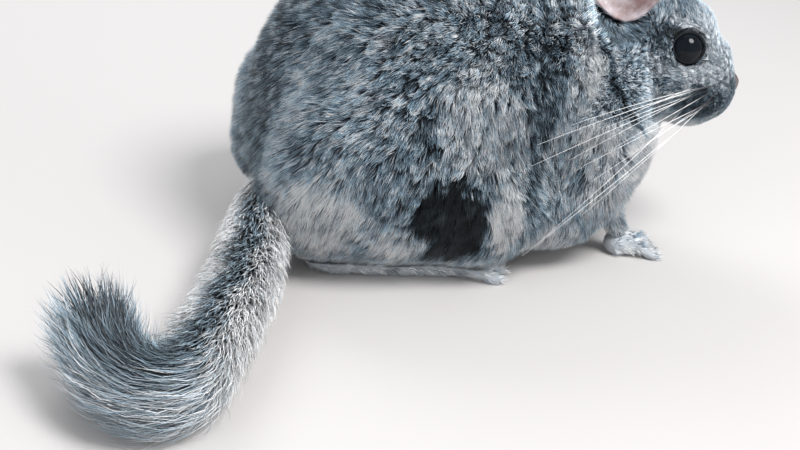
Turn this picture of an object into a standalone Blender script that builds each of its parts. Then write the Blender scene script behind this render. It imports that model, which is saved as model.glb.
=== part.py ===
"""A life-size grey chinchilla, crouched on all fours with its head lowered and its tail curled on the floor.

The animal faces -Y, +Z is up and its right side is at -X. Lengths are in metres.
"""

import math
import random

import bmesh
import bpy
from mathutils import Euler, Matrix, Vector

MM = 0.001

# Gap kept between neighbouring solids, the reach of the regions that part them, and the corners of
# the space under the floor.
GAP = 0.32 * MM
REGION_REACH = 0.4
BELOW_FLOOR = ((-1, -1, -1), (1, 1, 0))

# Body masses at the coat's surface: centre, half sizes, and pitch about X in degrees.
# The pairs are mirrored across the midline.
BODY_FORMS = {
    "trunk": ((0, 0.010, 0.0580), (0.055, 0.060, 0.0570), -8),
    "loin": ((0, 0.031, 0.0545), (0.053, 0.047, 0.0530), 0),
    "rump": ((0, 0.043, 0.0430), (0.048, 0.036, 0.0400), 0),
    "belly": ((0, 0.006, 0.0330), (0.045, 0.068, 0.0300), 0),
    "withers": ((0, -0.026, 0.0640), (0.046, 0.050, 0.0470), 6),
    "shoulders": ((0, -0.041, 0.0540), (0.042, 0.034, 0.0430), 0),
    "breast": ((0, -0.056, 0.0430), (0.031, 0.025, 0.0320), 0),
    "nape": ((0, -0.054, 0.0720), (0.028, 0.034, 0.0340), 0),
    "tail_base": ((-0.006, 0.056, 0.0300), (0.024, 0.022, 0.0230), 0),
}
BODY_PAIRS = {
    "thigh": ((0.035, 0.029, 0.0410), (0.027, 0.050, 0.0380), 0),
    "knee": ((0.041, 0.000, 0.0290), (0.018, 0.028, 0.0260), 0),
    "hock": ((0.030, 0.054, 0.0240), (0.023, 0.026, 0.0215), 0),
    "upper_arm": ((0.026, -0.046, 0.0350), (0.016, 0.020, 0.0230), 0),
    "elbow": ((0.027, -0.030, 0.0225), (0.017, 0.027, 0.0185), 0),
}
BODY_SOFTENING = 260
HEAD_SOFTENING = 22

# The head's own frame has its origin midway between the eyes: x to the left, y back, z up.
# It is lowered towards the floor and turned and tilted a little to the right.
HEAD_CENTRE = Vector((0.0, -0.0845, 0.0795))
HEAD_PITCH = 9.5
HEAD_YAW = 16.5
HEAD_ROLL = 5.5
HEAD_FORMS = {
    "cranium": ((0, 14, -1), (23.5, 26, 19.5), 0),
    "forehead": ((0, 0, 1), (18.5, 15.8, 16.0), 0),
    "face": ((0, -7, -8), (17, 18, 16), 0),
    "bridge": ((0, -12, -3.5), (11, 12, 11), 0),
    "muzzle": ((0, -15.5, -15.2), (12.5, 12.3, 13.2), 0),
    "nose": ((0, -22.5, -10), (5.2, 6.5, 5.5), 0),
    "lower_jaw": ((0, -9.5, -22), (10.5, 13.8, 10.5), 0),
    "throat": ((0, 8, -16), (20, 20, 15), 0),
}
HEAD_PAIRS = {
    "whisker_pad": ((6.0, -16.5, -15.5), (7.5, 9.5, 8.5), 0),
    "jowl": ((9, -8, -15.5), (9.5, 14, 12), 0),
    "cheek": ((13, 5, -12), (13.5, 19, 14.5), 0),
    "brow": ((11.5, 2, 1), (9.5, 12.2, 10.6), 0),
}

# How far back in the head's frame the heavy softening of the body fades in.
PLUSH_FROM = 10 * MM
PLUSH_FULL = 34 * MM

# The haunches are the parts of the body inside this ellipsoid; the centre is for the left side.
HAUNCH_CENTRE = Vector((0.063, 0.033, 0.034))
HAUNCH_SIZE = Vector((0.031, 0.050, 0.040))

# The slanted cuts ahead of and behind the neck; the first is placed in the head's frame.
HEAD_CUT = Vector((0, 29, 0)) * MM
HEAD_CUT_TILT = -24
NECK_CUT = Vector((0, -0.040, 0.075))
NECK_CUT_TILT = -30

# Eyes: the globe, the rim of the lids round it, and the opening between them.
EYE_PLACE = Vector((18.3, 0, 0.5)) * MM
EYE_RADIUS = 6.7 * MM
EYE_FORWARD = 12
EYE_UP = 8
LID_RADIUS = 6.5 * MM
LID_THICKNESS = 0.9 * MM
LID_OUT = 3.3 * MM
LID_REACH = 8 * MM
LID_FLARE = 1.5 * MM
LID_FOOT = (10.0 * MM, -2.5 * MM)
OPENING_SIDES = 26
LID_SIDES = 22
LID_TUBE_SIDES = 6

# Ears: a thin cup, narrow at its foot, that opens outwards.
EAR_FOOT = Vector((24.5, 25.5, 4.5)) * MM
EAR_LENGTH = 54 * MM
EAR_WIDTH = 40 * MM
EAR_CUP = 11 * MM
EAR_WALL = 1.1 * MM
EAR_BACK = 20
EAR_OUT = 18
EAR_TURN = 14
EAR_FOOT_TAPER = 0.60
EAR_CUP_TAPER = (1.25, 0.75)
EAR_BEND = 0.10
EAR_SEGMENTS = {"u_segments": 20, "v_segments": 12}
EAR_OPENING = 0.02
EAR_FULL_WIDTH = 1.5

# The hollow in the flesh that each ear opens over, in the head's frame, and the well in its cup.
HOLLOW_PLACE = Vector((34, 26, 13)) * MM
HOLLOW_SIZE = Vector((13, 14, 14)) * MM
WELL_HEIGHT = 12.5 * MM
WELL_SIZE = Vector((13.5, 11, 12.5)) * MM

# Nose and mouth.
NOSE_TIP = Vector((0, -26.5, -7.0)) * MM
NOSTRIL_SIZE = (0.9 * MM, 1.8 * MM, 1.1 * MM)
NOSTRIL_SPREAD = 2.3 * MM
NOSTRIL_SLANT = (35, 28, 22)
LIP_FRONT = 27 * MM
LIP_HEIGHT = -19 * MM
LIP_SWEEP = Vector((7.0, 8.0, -2.4)) * MM
LIP_DEPTH = 6 * MM
LIP_GROOVE = 0.8 * MM
LIP_STEPS = 10
CLEFT_PLACE = Vector((0, -26.2, -15.2)) * MM
CLEFT_SIZE = Vector((0.7, 3.2, 8.0)) * MM
CLEFT_TILT = 22

# Legs and feet. Places are for the left side.
FORELEG_TOP = Vector((0.0215, -0.052, 0.034))
FORELEG_WRIST = Vector((0.0205, -0.064, 0.010))
FORELEG_RADII = (0.0105, 0.0056)
FOREPAW_HEEL = Vector((0.0205, -0.0655, 0.0042))
FOREPAW_RADII = (0.0056, 0.0050)
FOREPAW_FLATNESS = 0.85
PALM_LENGTH = 0.0075
FOREPAW_SPLAY = 0.12
FORETOES = {"width": 0.0076, "count": 4, "length": 0.0072, "radius": 0.0017}
HINDFOOT_HEEL = Vector((0.034, 0.048, 0.0056))
HINDFOOT_BALL = Vector((0.038, 0.000, 0.0047))
HINDFOOT_RADII = (0.0068, 0.0058)
HINDFOOT_FLATNESS = 0.95
HINDFOOT_STEPS = 4
HINDTOES = {"width": 0.0088, "count": 3, "length": 0.012, "radius": 0.0023}
TOE_FAN = 0.34
TOE_ROUNDING = 0.16
TOE_TAPER = (1.15, 1.0, 0.9)
TOE_TIP_HEIGHT = 0.7
KNUCKLE_PLACE = 0.55
KNUCKLE_HEIGHT = 1.3
CLAW_LENGTH = 0.0042
CLAW_RADII = (0.42, 0.10)
CLAW_DROOP = 0.28
CLAW_HEIGHT = 1.1
CLAW_FORWARD = 0.35
CLAW_SIDES = 7

# The tail's centreline from the rump to the last bone, and its sizes along it.
TAIL_ROUTE = [
    (0.0000, 0.0580, 0.0260),
    (-0.0180, 0.0680, 0.0205),
    (-0.0400, 0.0735, 0.0170),
    (-0.0660, 0.0805, 0.0135),
    (-0.0920, 0.0910, 0.0130),
    (-0.1160, 0.1025, 0.0130),
    (-0.1345, 0.1145, 0.0132),
    (-0.1380, 0.1270, 0.0140),
    (-0.1290, 0.1345, 0.0155),
    (-0.1150, 0.1375, 0.0180),
]
TAIL_CORE = (0.0085, 0.0066)
TAIL_COAT = (0.0125, 0.0158)
TAIL_SEAMS = {"tail_root": 0.30, "tail_middle": 0.57, "tail_bend": 0.78, "tail_brush": 1.0}
TAIL_REGION = 0.090
TAIL_BALLS = 50
TAIL_ROWS = 9
LOCKS_FROM = 0.06
LOCKS_IN_ROW = 8
LOCK_LENGTH = (0.028, 0.021)
LOCK_UNEVENNESS = 0.12
LOCK_WIDTH = 0.0100
LOCK_THICKNESS = 0.0024
LOCK_ROOT = 0.45
LOCK_RISE = (0.98, 1.04)
LOCK_SHAPE = (0.80, 1.0, 0.66, 0)
LOCK_SCATTER = (0.025, 0.16)
LOCK_SEED = 3

# Fineness and smoothing of each form before it is divided, and the triangles it keeps.
VOXEL = 1.1 * MM
COARSE_TRIANGLES = 1950
FINE_TRIANGLES = 16000
HEAD_TRIANGLES = 1600
LIMBS = {
    "leg": (0.90 * MM, 4, 180),
    "paw": (0.55 * MM, 2, 260),
    "foot": (0.70 * MM, 2, 280),
    "tail": (0.90 * MM, 4, 460),
}


def clear_scene():
    """Remove whatever the start-up file holds."""
    for obj in list(bpy.data.objects):
        bpy.data.objects.remove(obj)


def new_collection(name):
    """A collection linked to the scene."""
    group = bpy.data.collections.new(name)
    bpy.context.scene.collection.children.link(group)
    return group


def new_material(name, colour, roughness):
    """A plain Principled material."""
    made = bpy.data.materials.new(name)
    made.use_nodes = True
    shader = made.node_tree.nodes["Principled BSDF"]
    shader.inputs["Base Color"].default_value = (*colour, 1.0)
    shader.inputs["Roughness"].default_value = roughness
    shader.inputs["Metallic"].default_value = 0.0
    return made


def object_from(name, bm, group):
    """An object made of a bmesh, which is freed."""
    mesh = bpy.data.meshes.new(name)
    bm.to_mesh(mesh)
    bm.free()
    obj = bpy.data.objects.new(name, mesh)
    group.objects.link(obj)
    return obj


def apply_modifiers(obj):
    """Replace an object's mesh by what its modifiers make of it."""
    graph = bpy.context.evaluated_depsgraph_get()
    mesh = bpy.data.meshes.new_from_object(obj.evaluated_get(graph))
    obj.modifiers.clear()
    obj.data = mesh
    return obj


def copy_of(obj, name):
    """A separate copy with a mesh of its own."""
    twin = obj.copy()
    twin.data = obj.data.copy()
    twin.name = name
    obj.users_collection[0].objects.link(twin)
    return twin


def remove(*objects):
    """Delete helpers."""
    for obj in objects:
        bpy.data.objects.remove(obj)


def boolean(obj, other, operation, solver="EXACT"):
    """Cut, cross or join an object with another, and apply it."""
    step = obj.modifiers.new("join", "BOOLEAN")
    step.operation = operation
    step.solver = solver
    step.object = other
    bpy.context.view_layer.update()
    return apply_modifiers(obj)


def keep_largest(obj, weld=0.002 * MM):
    """Drop every closed surface but the one with the most volume."""
    bm = bmesh.new()
    bm.from_mesh(obj.data)
    bmesh.ops.remove_doubles(bm, verts=bm.verts, dist=weld)
    bmesh.ops.triangulate(bm, faces=bm.faces)
    bm.faces.ensure_lookup_table()
    seen = set()
    islands = []
    for face in bm.faces:
        if face.index in seen:
            continue
        stack = [face]
        seen.add(face.index)
        island = []
        while stack:
            here = stack.pop()
            island.append(here)
            for edge in here.edges:
                if len(edge.link_faces) != 2:
                    continue
                for there in edge.link_faces:
                    if there.index not in seen:
                        seen.add(there.index)
                        stack.append(there)
        islands.append(island)

    def volume(island):
        corners = [[v.co for v in face.verts] for face in island]
        return sum(a.dot(b.cross(c)) for a, b, c in corners) / 6

    islands.sort(key=volume)
    loose = [face for island in islands[:-1] for face in island]
    bmesh.ops.delete(bm, geom=loose, context="FACES")
    bm.to_mesh(obj.data)
    bm.free()
    return obj


def add_ellipsoid(bm, centre, radii, pitch=0, fineness=4):
    """Add an ellipsoid to a bmesh."""
    turn = Matrix.Rotation(math.radians(pitch), 4, "X")
    matrix = Matrix.Translation(centre) @ turn @ Matrix.Diagonal((*radii, 1))
    bmesh.ops.create_icosphere(bm, subdivisions=fineness, radius=1, matrix=matrix)


def head_matrix():
    """From the head's own frame to the world."""
    yaw = Matrix.Rotation(math.radians(-HEAD_YAW), 4, "Z")
    pitch = Matrix.Rotation(math.radians(HEAD_PITCH), 4, "X")
    roll = Matrix.Rotation(math.radians(HEAD_ROLL), 4, "Y")
    return Matrix.Translation(HEAD_CENTRE) @ yaw @ pitch @ roll


def mirrored(point, sign):
    """A left-side place on the side that sign names."""
    return Vector((sign * point[0], point[1], point[2]))


def both_sides(point):
    """A point and its mirror across the midline."""
    return [mirrored(point, sign) for sign in (1, -1)]


def blend(value, low, high):
    """0 below low, 1 above high, smooth between."""
    t = min(1.0, max(0.0, (value - low) / (high - low)))
    return t * t * (3 - 2 * t)


def ramp(start, end, t):
    """A value t of the way from start to end."""
    return start + (end - start) * t


def smoothed(obj, iterations, group_name=None):
    """Soften the creases between forms that were fused."""
    step = obj.modifiers.new("soften", "SMOOTH")
    step.factor = 0.5
    step.iterations = iterations
    if group_name:
        step.vertex_group = group_name
    return obj


def fused(name, bm, group, voxel):
    """One closed skin round overlapping forms."""
    obj = object_from(name, bm, group)
    step = obj.modifiers.new("fuse", "REMESH")
    step.mode = "VOXEL"
    step.voxel_size = voxel
    return apply_modifiers(obj)


def reduced(obj, triangles):
    """The same surface with about this many triangles."""
    bm = bmesh.new()
    bm.from_mesh(obj.data)
    bmesh.ops.triangulate(bm, faces=bm.faces)
    bm.to_mesh(obj.data)
    bm.free()
    step = obj.modifiers.new("reduce", "DECIMATE")
    step.ratio = triangles / len(obj.data.polygons)
    return apply_modifiers(obj)


def fleshed(name, bm, group, kind):
    """A limb's forms fused, smoothed and reduced as its kind says."""
    voxel, softness, triangles = LIMBS[kind]
    obj = fused(name, bm, group, voxel)
    smoothed(obj, softness)
    return reduced(apply_modifiers(obj), triangles)


def make_flesh(group):
    """Body and head as one soft form, before it is divided."""
    bm = bmesh.new()
    for centre, radii, pitch in BODY_FORMS.values():
        add_ellipsoid(bm, centre, radii, pitch)
    for centre, radii, pitch in BODY_PAIRS.values():
        for place in both_sides(centre):
            add_ellipsoid(bm, place, radii, pitch)
    head = bmesh.new()
    for centre, radii, pitch in HEAD_FORMS.values():
        add_ellipsoid(head, Vector(centre) * MM, Vector(radii) * MM, pitch)
    for centre, radii, pitch in HEAD_PAIRS.values():
        for place in both_sides(centre):
            add_ellipsoid(head, place * MM, Vector(radii) * MM, pitch)
    head.transform(head_matrix())
    mesh = bpy.data.meshes.new("head_forms")
    head.to_mesh(mesh)
    head.free()
    bm.from_mesh(mesh)
    flesh = fused("flesh", bm, group, VOXEL)
    to_head = head_matrix().inverted()
    plush = flesh.vertex_groups.new(name="plush")
    for vertex in flesh.data.vertices:
        back = (to_head @ vertex.co).y
        plush.add([vertex.index], blend(back, PLUSH_FROM, PLUSH_FULL), "REPLACE")
    smoothed(flesh, BODY_SOFTENING, "plush")
    apply_modifiers(flesh)
    for sign in (1, -1):
        hollow = ellipsoid(
            "hollow", group, mirrored(HOLLOW_PLACE, sign), HOLLOW_SIZE, matrix=head_matrix()
        )
        well = ellipsoid("well", group, (0, 0, WELL_HEIGHT), WELL_SIZE, matrix=ear_matrix(sign))
        for cutter in (hollow, well):
            boolean(flesh, cutter, "DIFFERENCE", "MANIFOLD")
        remove(hollow, well)
    smoothed(flesh, HEAD_SOFTENING)
    return apply_modifiers(flesh)


def box(name, group, low, high, matrix=None):
    """A box between two corners, used as a region."""
    bm = bmesh.new()
    low, high = Vector(low), Vector(high)
    place = Matrix.Translation((low + high) / 2) @ Matrix.Diagonal((*(high - low), 1))
    bmesh.ops.create_cube(bm, size=1, matrix=place)
    if matrix:
        bm.transform(matrix)
    return object_from(name, bm, group)


def ellipsoid(name, group, centre, radii, fineness=4, matrix=None):
    """An ellipsoid of its own."""
    bm = bmesh.new()
    add_ellipsoid(bm, centre, radii, 0, fineness)
    if matrix:
        bm.transform(matrix)
    return object_from(name, bm, group)


def swollen(obj, name, distance=GAP):
    """A copy whose surface stands out by a distance, to cut neighbours clear of it."""
    twin = copy_of(obj, name)
    bm = bmesh.new()
    bm.from_mesh(twin.data)
    bm.normal_update()
    offsets = [v.normal * distance * min(2.0, v.calc_shell_factor()) for v in bm.verts]
    for vertex, offset in zip(bm.verts, offsets):
        vertex.co += offset
    bm.to_mesh(twin.data)
    bm.free()
    return twin


def clear_of(obj, *others):
    """Cut an object clear of its neighbours by the gap.

    The exact solver sometimes drops a thin shell here, so these cuts use the manifold one.
    """
    for other in others:
        cutter = swollen(other, "cutter")
        boolean(obj, cutter, "DIFFERENCE", "MANIFOLD")
        remove(cutter)
    return keep_largest(obj)


def neck_matrix(centre, pitch):
    """A frame whose -Y side is ahead of a slanted cut through the neck."""
    turn = Euler((math.radians(pitch), 0, math.radians(-HEAD_YAW / 2)))
    return Matrix.Translation(centre) @ turn.to_matrix().to_4x4()


def divide_flesh(flesh, parts, helpers):
    """Head, neck, torso and haunches, parted by thin cuts."""
    far = REGION_REACH
    coarse = reduced(copy_of(flesh, "coarse"), COARSE_TRIANGLES)
    fine = reduced(copy_of(flesh, "fine"), FINE_TRIANGLES)
    head_cut = neck_matrix(head_matrix() @ HEAD_CUT, HEAD_CUT_TILT)
    neck_cut = neck_matrix(NECK_CUT, NECK_CUT_TILT)
    ahead = ((-far, -far, -far), (far, -GAP / 2, far))
    behind = ((-far, GAP / 2, -far), (far, far, far))
    regions = {
        "head": [box("ahead_of_head_cut", helpers, *ahead, head_cut)],
        "neck": [
            box("behind_head_cut", helpers, *behind, head_cut),
            box("ahead_of_neck_cut", helpers, *ahead, neck_cut),
        ],
        "torso": [box("behind_neck_cut", helpers, *behind, neck_cut)],
    }
    made = {}
    for name, cuts in regions.items():
        source = fine if name == "head" else coarse
        part = copy_of(source, name)
        for cut in cuts:
            boolean(part, cut, "INTERSECT")
        made[name] = keep_largest(part)
    reduced(made["head"], HEAD_TRIANGLES)
    for side, sign in (("left", 1), ("right", -1)):
        centre = mirrored(HAUNCH_CENTRE, sign)
        region = ellipsoid("haunch_region", helpers, centre, HAUNCH_SIZE)
        wider = ellipsoid("haunch_socket", helpers, centre, HAUNCH_SIZE + Vector((GAP, GAP, GAP)))
        haunch = copy_of(made["torso"], "haunch_" + side)
        boolean(haunch, region, "INTERSECT")
        made["haunch_" + side] = keep_largest(haunch)
        boolean(made["torso"], wider, "DIFFERENCE")
        remove(region, wider)
    keep_largest(made["torso"])
    for part in made.values():
        helpers.objects.unlink(part)
        parts.objects.link(part)
    for cuts in regions.values():
        remove(*cuts)
    remove(coarse, fine)
    return made


def eye_matrix(sign):
    """The eye's frame in the head: its -Y axis looks out of the socket."""
    place = mirrored(EYE_PLACE, sign)
    turn = Euler((math.radians(-EYE_UP), 0, math.radians(sign * (90 - EYE_FORWARD))))
    return head_matrix() @ Matrix.Translation(place) @ turn.to_matrix().to_4x4()


def add_eye(side, sign, head, parts, helpers):
    """A globe in a socket, ringed by its lids."""
    matrix = eye_matrix(sign)
    opening = bmesh.new()
    inner = math.sqrt((EYE_RADIUS + GAP) ** 2 - LID_OUT ** 2)
    bmesh.ops.create_cone(
        opening, cap_ends=True, segments=OPENING_SIDES, radius1=inner, radius2=inner + LID_FLARE,
        depth=LID_REACH, matrix=Matrix.Translation((0, 0, LID_OUT + LID_REACH / 2)),
    )
    opening.transform(matrix @ Matrix.Rotation(math.radians(90), 4, "X"))
    cone = object_from("opening", opening, helpers)
    boolean(head, cone, "DIFFERENCE")
    cuff = bmesh.new()
    foot_radius, foot_depth = LID_FOOT
    bmesh.ops.create_cone(
        cuff, cap_ends=True, segments=LID_SIDES, radius1=foot_radius,
        radius2=LID_RADIUS + LID_THICKNESS / 2, depth=LID_OUT - foot_depth,
        matrix=Matrix.Translation((0, 0, (LID_OUT + foot_depth) / 2)),
    )
    cuff.transform(matrix @ Matrix.Rotation(math.radians(90), 4, "X"))
    cuff = object_from("cuff", cuff, helpers)
    boolean(head, cuff, "UNION")
    bpy.ops.mesh.primitive_torus_add(
        major_segments=LID_SIDES, minor_segments=LID_TUBE_SIDES,
        major_radius=LID_RADIUS, minor_radius=LID_THICKNESS
    )
    lid = bpy.context.object
    lid.data.transform(Matrix.Rotation(math.radians(90), 4, "X"))
    lid.data.transform(Matrix.Translation((0, -LID_OUT, 0)))
    lid.data.transform(matrix)
    boolean(head, lid, "UNION")
    socket = ellipsoid("socket", helpers, (0, 0, 0), (EYE_RADIUS + GAP,) * 3, 3, matrix)
    boolean(head, socket, "DIFFERENCE")
    remove(cone, cuff, lid, socket)
    eye = ellipsoid("eye_" + side, parts, (0, 0, 0), (EYE_RADIUS,) * 3, 3, matrix)
    return eye


def ear_matrix(sign):
    """The ear's frame: x across it, y out of its cup, z from its foot to its tip."""
    place = mirrored(EAR_FOOT, sign)
    lean = Matrix.Rotation(math.radians(-EAR_BACK), 4, "X")
    splay = Matrix.Rotation(math.radians(sign * EAR_OUT), 4, "Y")
    face = Matrix.Rotation(math.radians(sign * (-90 + EAR_TURN)), 4, "Z")
    return head_matrix() @ Matrix.Translation(place) @ lean @ splay @ face


def make_ear(side, sign, head, parts):
    """A thin cup with a rolled rim, cut clear of the head at its foot."""
    bm = bmesh.new()
    bmesh.ops.create_uvsphere(bm, **EAR_SEGMENTS, radius=1)
    front = [v for v in bm.verts if v.co.y > EAR_OPENING]
    bmesh.ops.delete(bm, geom=front, context="VERTS")
    for vertex in bm.verts:
        x, y, z = vertex.co
        height = (z + 1) / 2
        wide = math.sin(min(1.0, height * EAR_FULL_WIDTH) * math.pi / 2)
        taper = ramp(EAR_FOOT_TAPER, 1.0, wide)
        vertex.co.x = x * EAR_WIDTH / 2 * taper
        vertex.co.y = y * EAR_CUP * ramp(*EAR_CUP_TAPER, height)
        vertex.co.z = height * EAR_LENGTH
        vertex.co.y -= EAR_BEND * EAR_LENGTH * height * height
    bm.transform(ear_matrix(sign))
    ear = object_from("ear_" + side, bm, parts)
    wall = ear.modifiers.new("wall", "SOLIDIFY")
    wall.thickness = EAR_WALL
    wall.offset = 0
    wall.use_even_offset = True
    apply_modifiers(ear)
    return clear_of(ear, head)


def carve_face(head, helpers):
    """Nostrils, the cleft of the upper lip and the line of the mouth."""
    for sign in (1, -1):
        bm = bmesh.new()
        add_ellipsoid(bm, (0, 0, 0), NOSTRIL_SIZE, 0, 2)
        pitch, roll, yaw = (math.radians(angle) for angle in NOSTRIL_SLANT)
        slant = Euler((pitch, sign * roll, sign * yaw))
        bm.transform(slant.to_matrix().to_4x4())
        bm.transform(Matrix.Translation(NOSE_TIP + Vector((sign * NOSTRIL_SPREAD, 0, 0))))
        bm.transform(head_matrix())
        cutter = object_from("nostril", bm, helpers)
        boolean(head, cutter, "DIFFERENCE")
        remove(cutter)
    tilt = Matrix.Rotation(math.radians(CLEFT_TILT), 4, "X")
    place = head_matrix() @ Matrix.Translation(CLEFT_PLACE) @ tilt
    cleft = box("cleft", helpers, -CLEFT_SIZE / 2, CLEFT_SIZE / 2, place)
    boolean(head, cleft, "DIFFERENCE")
    remove(cleft)
    lips = bmesh.new()
    arc = []
    for i in range(LIP_STEPS + 1):
        t = ramp(-1, 1, i / LIP_STEPS)
        back, drop = LIP_SWEEP.y * t * t, LIP_SWEEP.z * abs(t)
        arc.append(Vector((LIP_SWEEP.x * t, back - LIP_FRONT, LIP_HEIGHT + drop)))
    depth = Vector((0, LIP_DEPTH, 0))
    rise = Vector((0, 0, LIP_GROOVE / 2))
    rows = []
    for point in arc:
        corners = [point - rise, point + rise, point + depth + rise, point + depth - rise]
        rows.append([lips.verts.new(corner) for corner in corners])
    for near, far in zip(rows, rows[1:]):
        for i in range(4):
            k = (i + 1) % 4
            lips.faces.new((near[i], far[i], far[k], near[k]))
    lips.faces.new(rows[0])
    lips.faces.new(reversed(rows[-1]))
    bmesh.ops.recalc_face_normals(lips, faces=lips.faces)
    lips.transform(head_matrix())
    cutter = object_from("lips", lips, helpers)
    boolean(head, cutter, "DIFFERENCE")
    remove(cutter)
    return keep_largest(head)


def add_limb(bm, points, radii, flatten=1.0, steps=3):
    """Overlapping ellipsoids along a bone, from one radius to the next."""
    for (a, b), (ra, rb) in zip(zip(points, points[1:]), zip(radii, radii[1:])):
        length = (b - a).length
        for i in range(steps + 1):
            t = i / steps
            r = ramp(ra, rb, t)
            turn = (b - a).to_track_quat("Y", "Z").to_matrix().to_4x4()
            size = Matrix.Diagonal((r, max(r, length / steps), r * flatten, 1))
            matrix = Matrix.Translation(a.lerp(b, t)) @ turn @ size
            bmesh.ops.create_icosphere(bm, subdivisions=3, radius=1, matrix=matrix)


def add_toes(bm, ball, heading, width, count, length, radius):
    """Toes that fan out from the ball of a foot, each with its claw."""
    across = Vector((heading.y, -heading.x, 0))
    for i in range(count):
        t = i / (count - 1) * 2 - 1
        way = (heading + across * t * TOE_FAN).normalized()
        root = ball + across * t * width / 2
        reach = length * (1 - TOE_ROUNDING * t * t)
        tip = root + way * reach
        tip.z = radius * TOE_TIP_HEIGHT
        knuckle = root.lerp(tip, KNUCKLE_PLACE)
        knuckle.z = radius * KNUCKLE_HEIGHT
        add_limb(bm, [root, knuckle, tip], [radius * share for share in TOE_TAPER], steps=2)


def add_claws(obj, ball, heading, width, count, length, radius, helpers):
    """A short curved claw joined to the tip of each toe."""
    across = Vector((heading.y, -heading.x, 0))
    for i in range(count):
        t = i / (count - 1) * 2 - 1
        way = (heading + across * t * TOE_FAN).normalized()
        root = ball + across * t * width / 2 + way * length * (1 - TOE_ROUNDING * t * t)
        root.z = radius * CLAW_HEIGHT
        bm = bmesh.new()
        aim = (way + Vector((0, 0, -CLAW_DROOP))).to_track_quat("Z", "Y").to_matrix().to_4x4()
        place = Matrix.Translation(root + way * CLAW_LENGTH * CLAW_FORWARD) @ aim
        bmesh.ops.create_cone(
            bm, cap_ends=True, segments=CLAW_SIDES, radius1=radius * CLAW_RADII[0],
            radius2=radius * CLAW_RADII[1], depth=CLAW_LENGTH, matrix=place,
        )
        claw = object_from("claw", bm, helpers)
        boolean(obj, claw, "UNION")
        remove(claw)


def on_floor(obj, helpers):
    """Cut an object flat where it would go through the floor."""
    below = box("below", helpers, *BELOW_FLOOR)
    boolean(obj, below, "DIFFERENCE")
    remove(below)
    return keep_largest(obj)


def make_forelimb(side, sign, torso, parts, helpers):
    """The forearm under the breast, and the paw it stands on."""
    top, wrist = mirrored(FORELEG_TOP, sign), mirrored(FORELEG_WRIST, sign)
    bm = bmesh.new()
    add_limb(bm, [top, wrist], FORELEG_RADII)
    leg = fleshed("foreleg_" + side, bm, parts, "leg")
    heel = mirrored(FOREPAW_HEEL, sign)
    heading = Vector((sign * FOREPAW_SPLAY, -1, 0)).normalized()
    ball = heel + heading * PALM_LENGTH
    bm = bmesh.new()
    add_limb(bm, [heel, ball], FOREPAW_RADII, FOREPAW_FLATNESS)
    add_toes(bm, ball, heading, **FORETOES)
    paw = fleshed("forepaw_" + side, bm, parts, "paw")
    add_claws(paw, ball, heading, **FORETOES, helpers=helpers)
    on_floor(paw, helpers)
    clear_of(leg, torso, paw)
    return leg, paw


def make_hindfoot(side, sign, torso, haunch, parts, helpers):
    """The long foot flat on the floor under the haunch."""
    heel, ball = mirrored(HINDFOOT_HEEL, sign), mirrored(HINDFOOT_BALL, sign)
    heading = (ball - heel)
    heading.z = 0
    heading.normalize()
    bm = bmesh.new()
    add_limb(bm, [heel, ball], HINDFOOT_RADII, HINDFOOT_FLATNESS, HINDFOOT_STEPS)
    add_toes(bm, ball, heading, **HINDTOES)
    foot = fleshed("hindfoot_" + side, bm, parts, "foot")
    add_claws(foot, ball, heading, **HINDTOES, helpers=helpers)
    on_floor(foot, helpers)
    return clear_of(foot, torso, haunch)


class Tail:
    """The tail's centreline as a smooth curve through its route."""

    def __init__(self):
        route = [Vector(p) for p in TAIL_ROUTE]
        ends = [2 * route[0] - route[1]] + route + [2 * route[-1] - route[-2]]
        self.points = []
        for a, b, c, d in zip(ends, ends[1:], ends[2:], ends[3:]):
            for i in range(8):
                t = i / 8
                self.points.append(
                    0.5 * (2 * b + (c - a) * t + (2 * a - 5 * b + 4 * c - d) * t * t
                           + (3 * b - a - 3 * c + d) * t ** 3)
                )
        self.points.append(route[-1])
        self.lengths = [0.0]
        for a, b in zip(self.points, self.points[1:]):
            self.lengths.append(self.lengths[-1] + (b - a).length)
        self.length = self.lengths[-1]

    def at(self, t):
        """The point t of the way along."""
        want = t * self.length
        for i in range(1, len(self.points)):
            if self.lengths[i] >= want or i == len(self.points) - 1:
                span = self.lengths[i] - self.lengths[i - 1]
                part = (want - self.lengths[i - 1]) / span
                return self.points[i - 1].lerp(self.points[i], part)

    def frame(self, t):
        """Point, heading, side and up at t."""
        step = 0.01
        low, high = max(0, t - step), min(1, t + step)
        heading = (self.at(high) - self.at(low)).normalized()
        side = heading.cross(Vector((0, 0, 1))).normalized()
        return self.at(t), heading, side, side.cross(heading)


def add_lock(points, widths, thickness, face, name, group):
    """A flat lock of hair: a loft of diamonds along a path, down to a point."""
    bm = bmesh.new()
    rows = []
    for i, point in enumerate(points[:-1]):
        ahead = (points[i + 1] - point).normalized()
        across = ahead.cross(face).normalized() * widths[i] / 2
        out = across.cross(ahead).normalized() * thickness / 2 * widths[i] / max(widths)
        rows.append([bm.verts.new(point + d) for d in (across, out, -across, -out)])
    tip = bm.verts.new(points[-1])
    for near, far in zip(rows, rows[1:]):
        for i in range(4):
            k = (i + 1) % 4
            bm.faces.new((near[i], near[k], far[k], far[i]))
    for i in range(4):
        bm.faces.new((rows[-1][i], rows[-1][(i + 1) % 4], tip))
    bm.faces.new(rows[0])
    bmesh.ops.recalc_face_normals(bm, faces=bm.faces)
    return object_from(name, bm, group)


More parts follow.
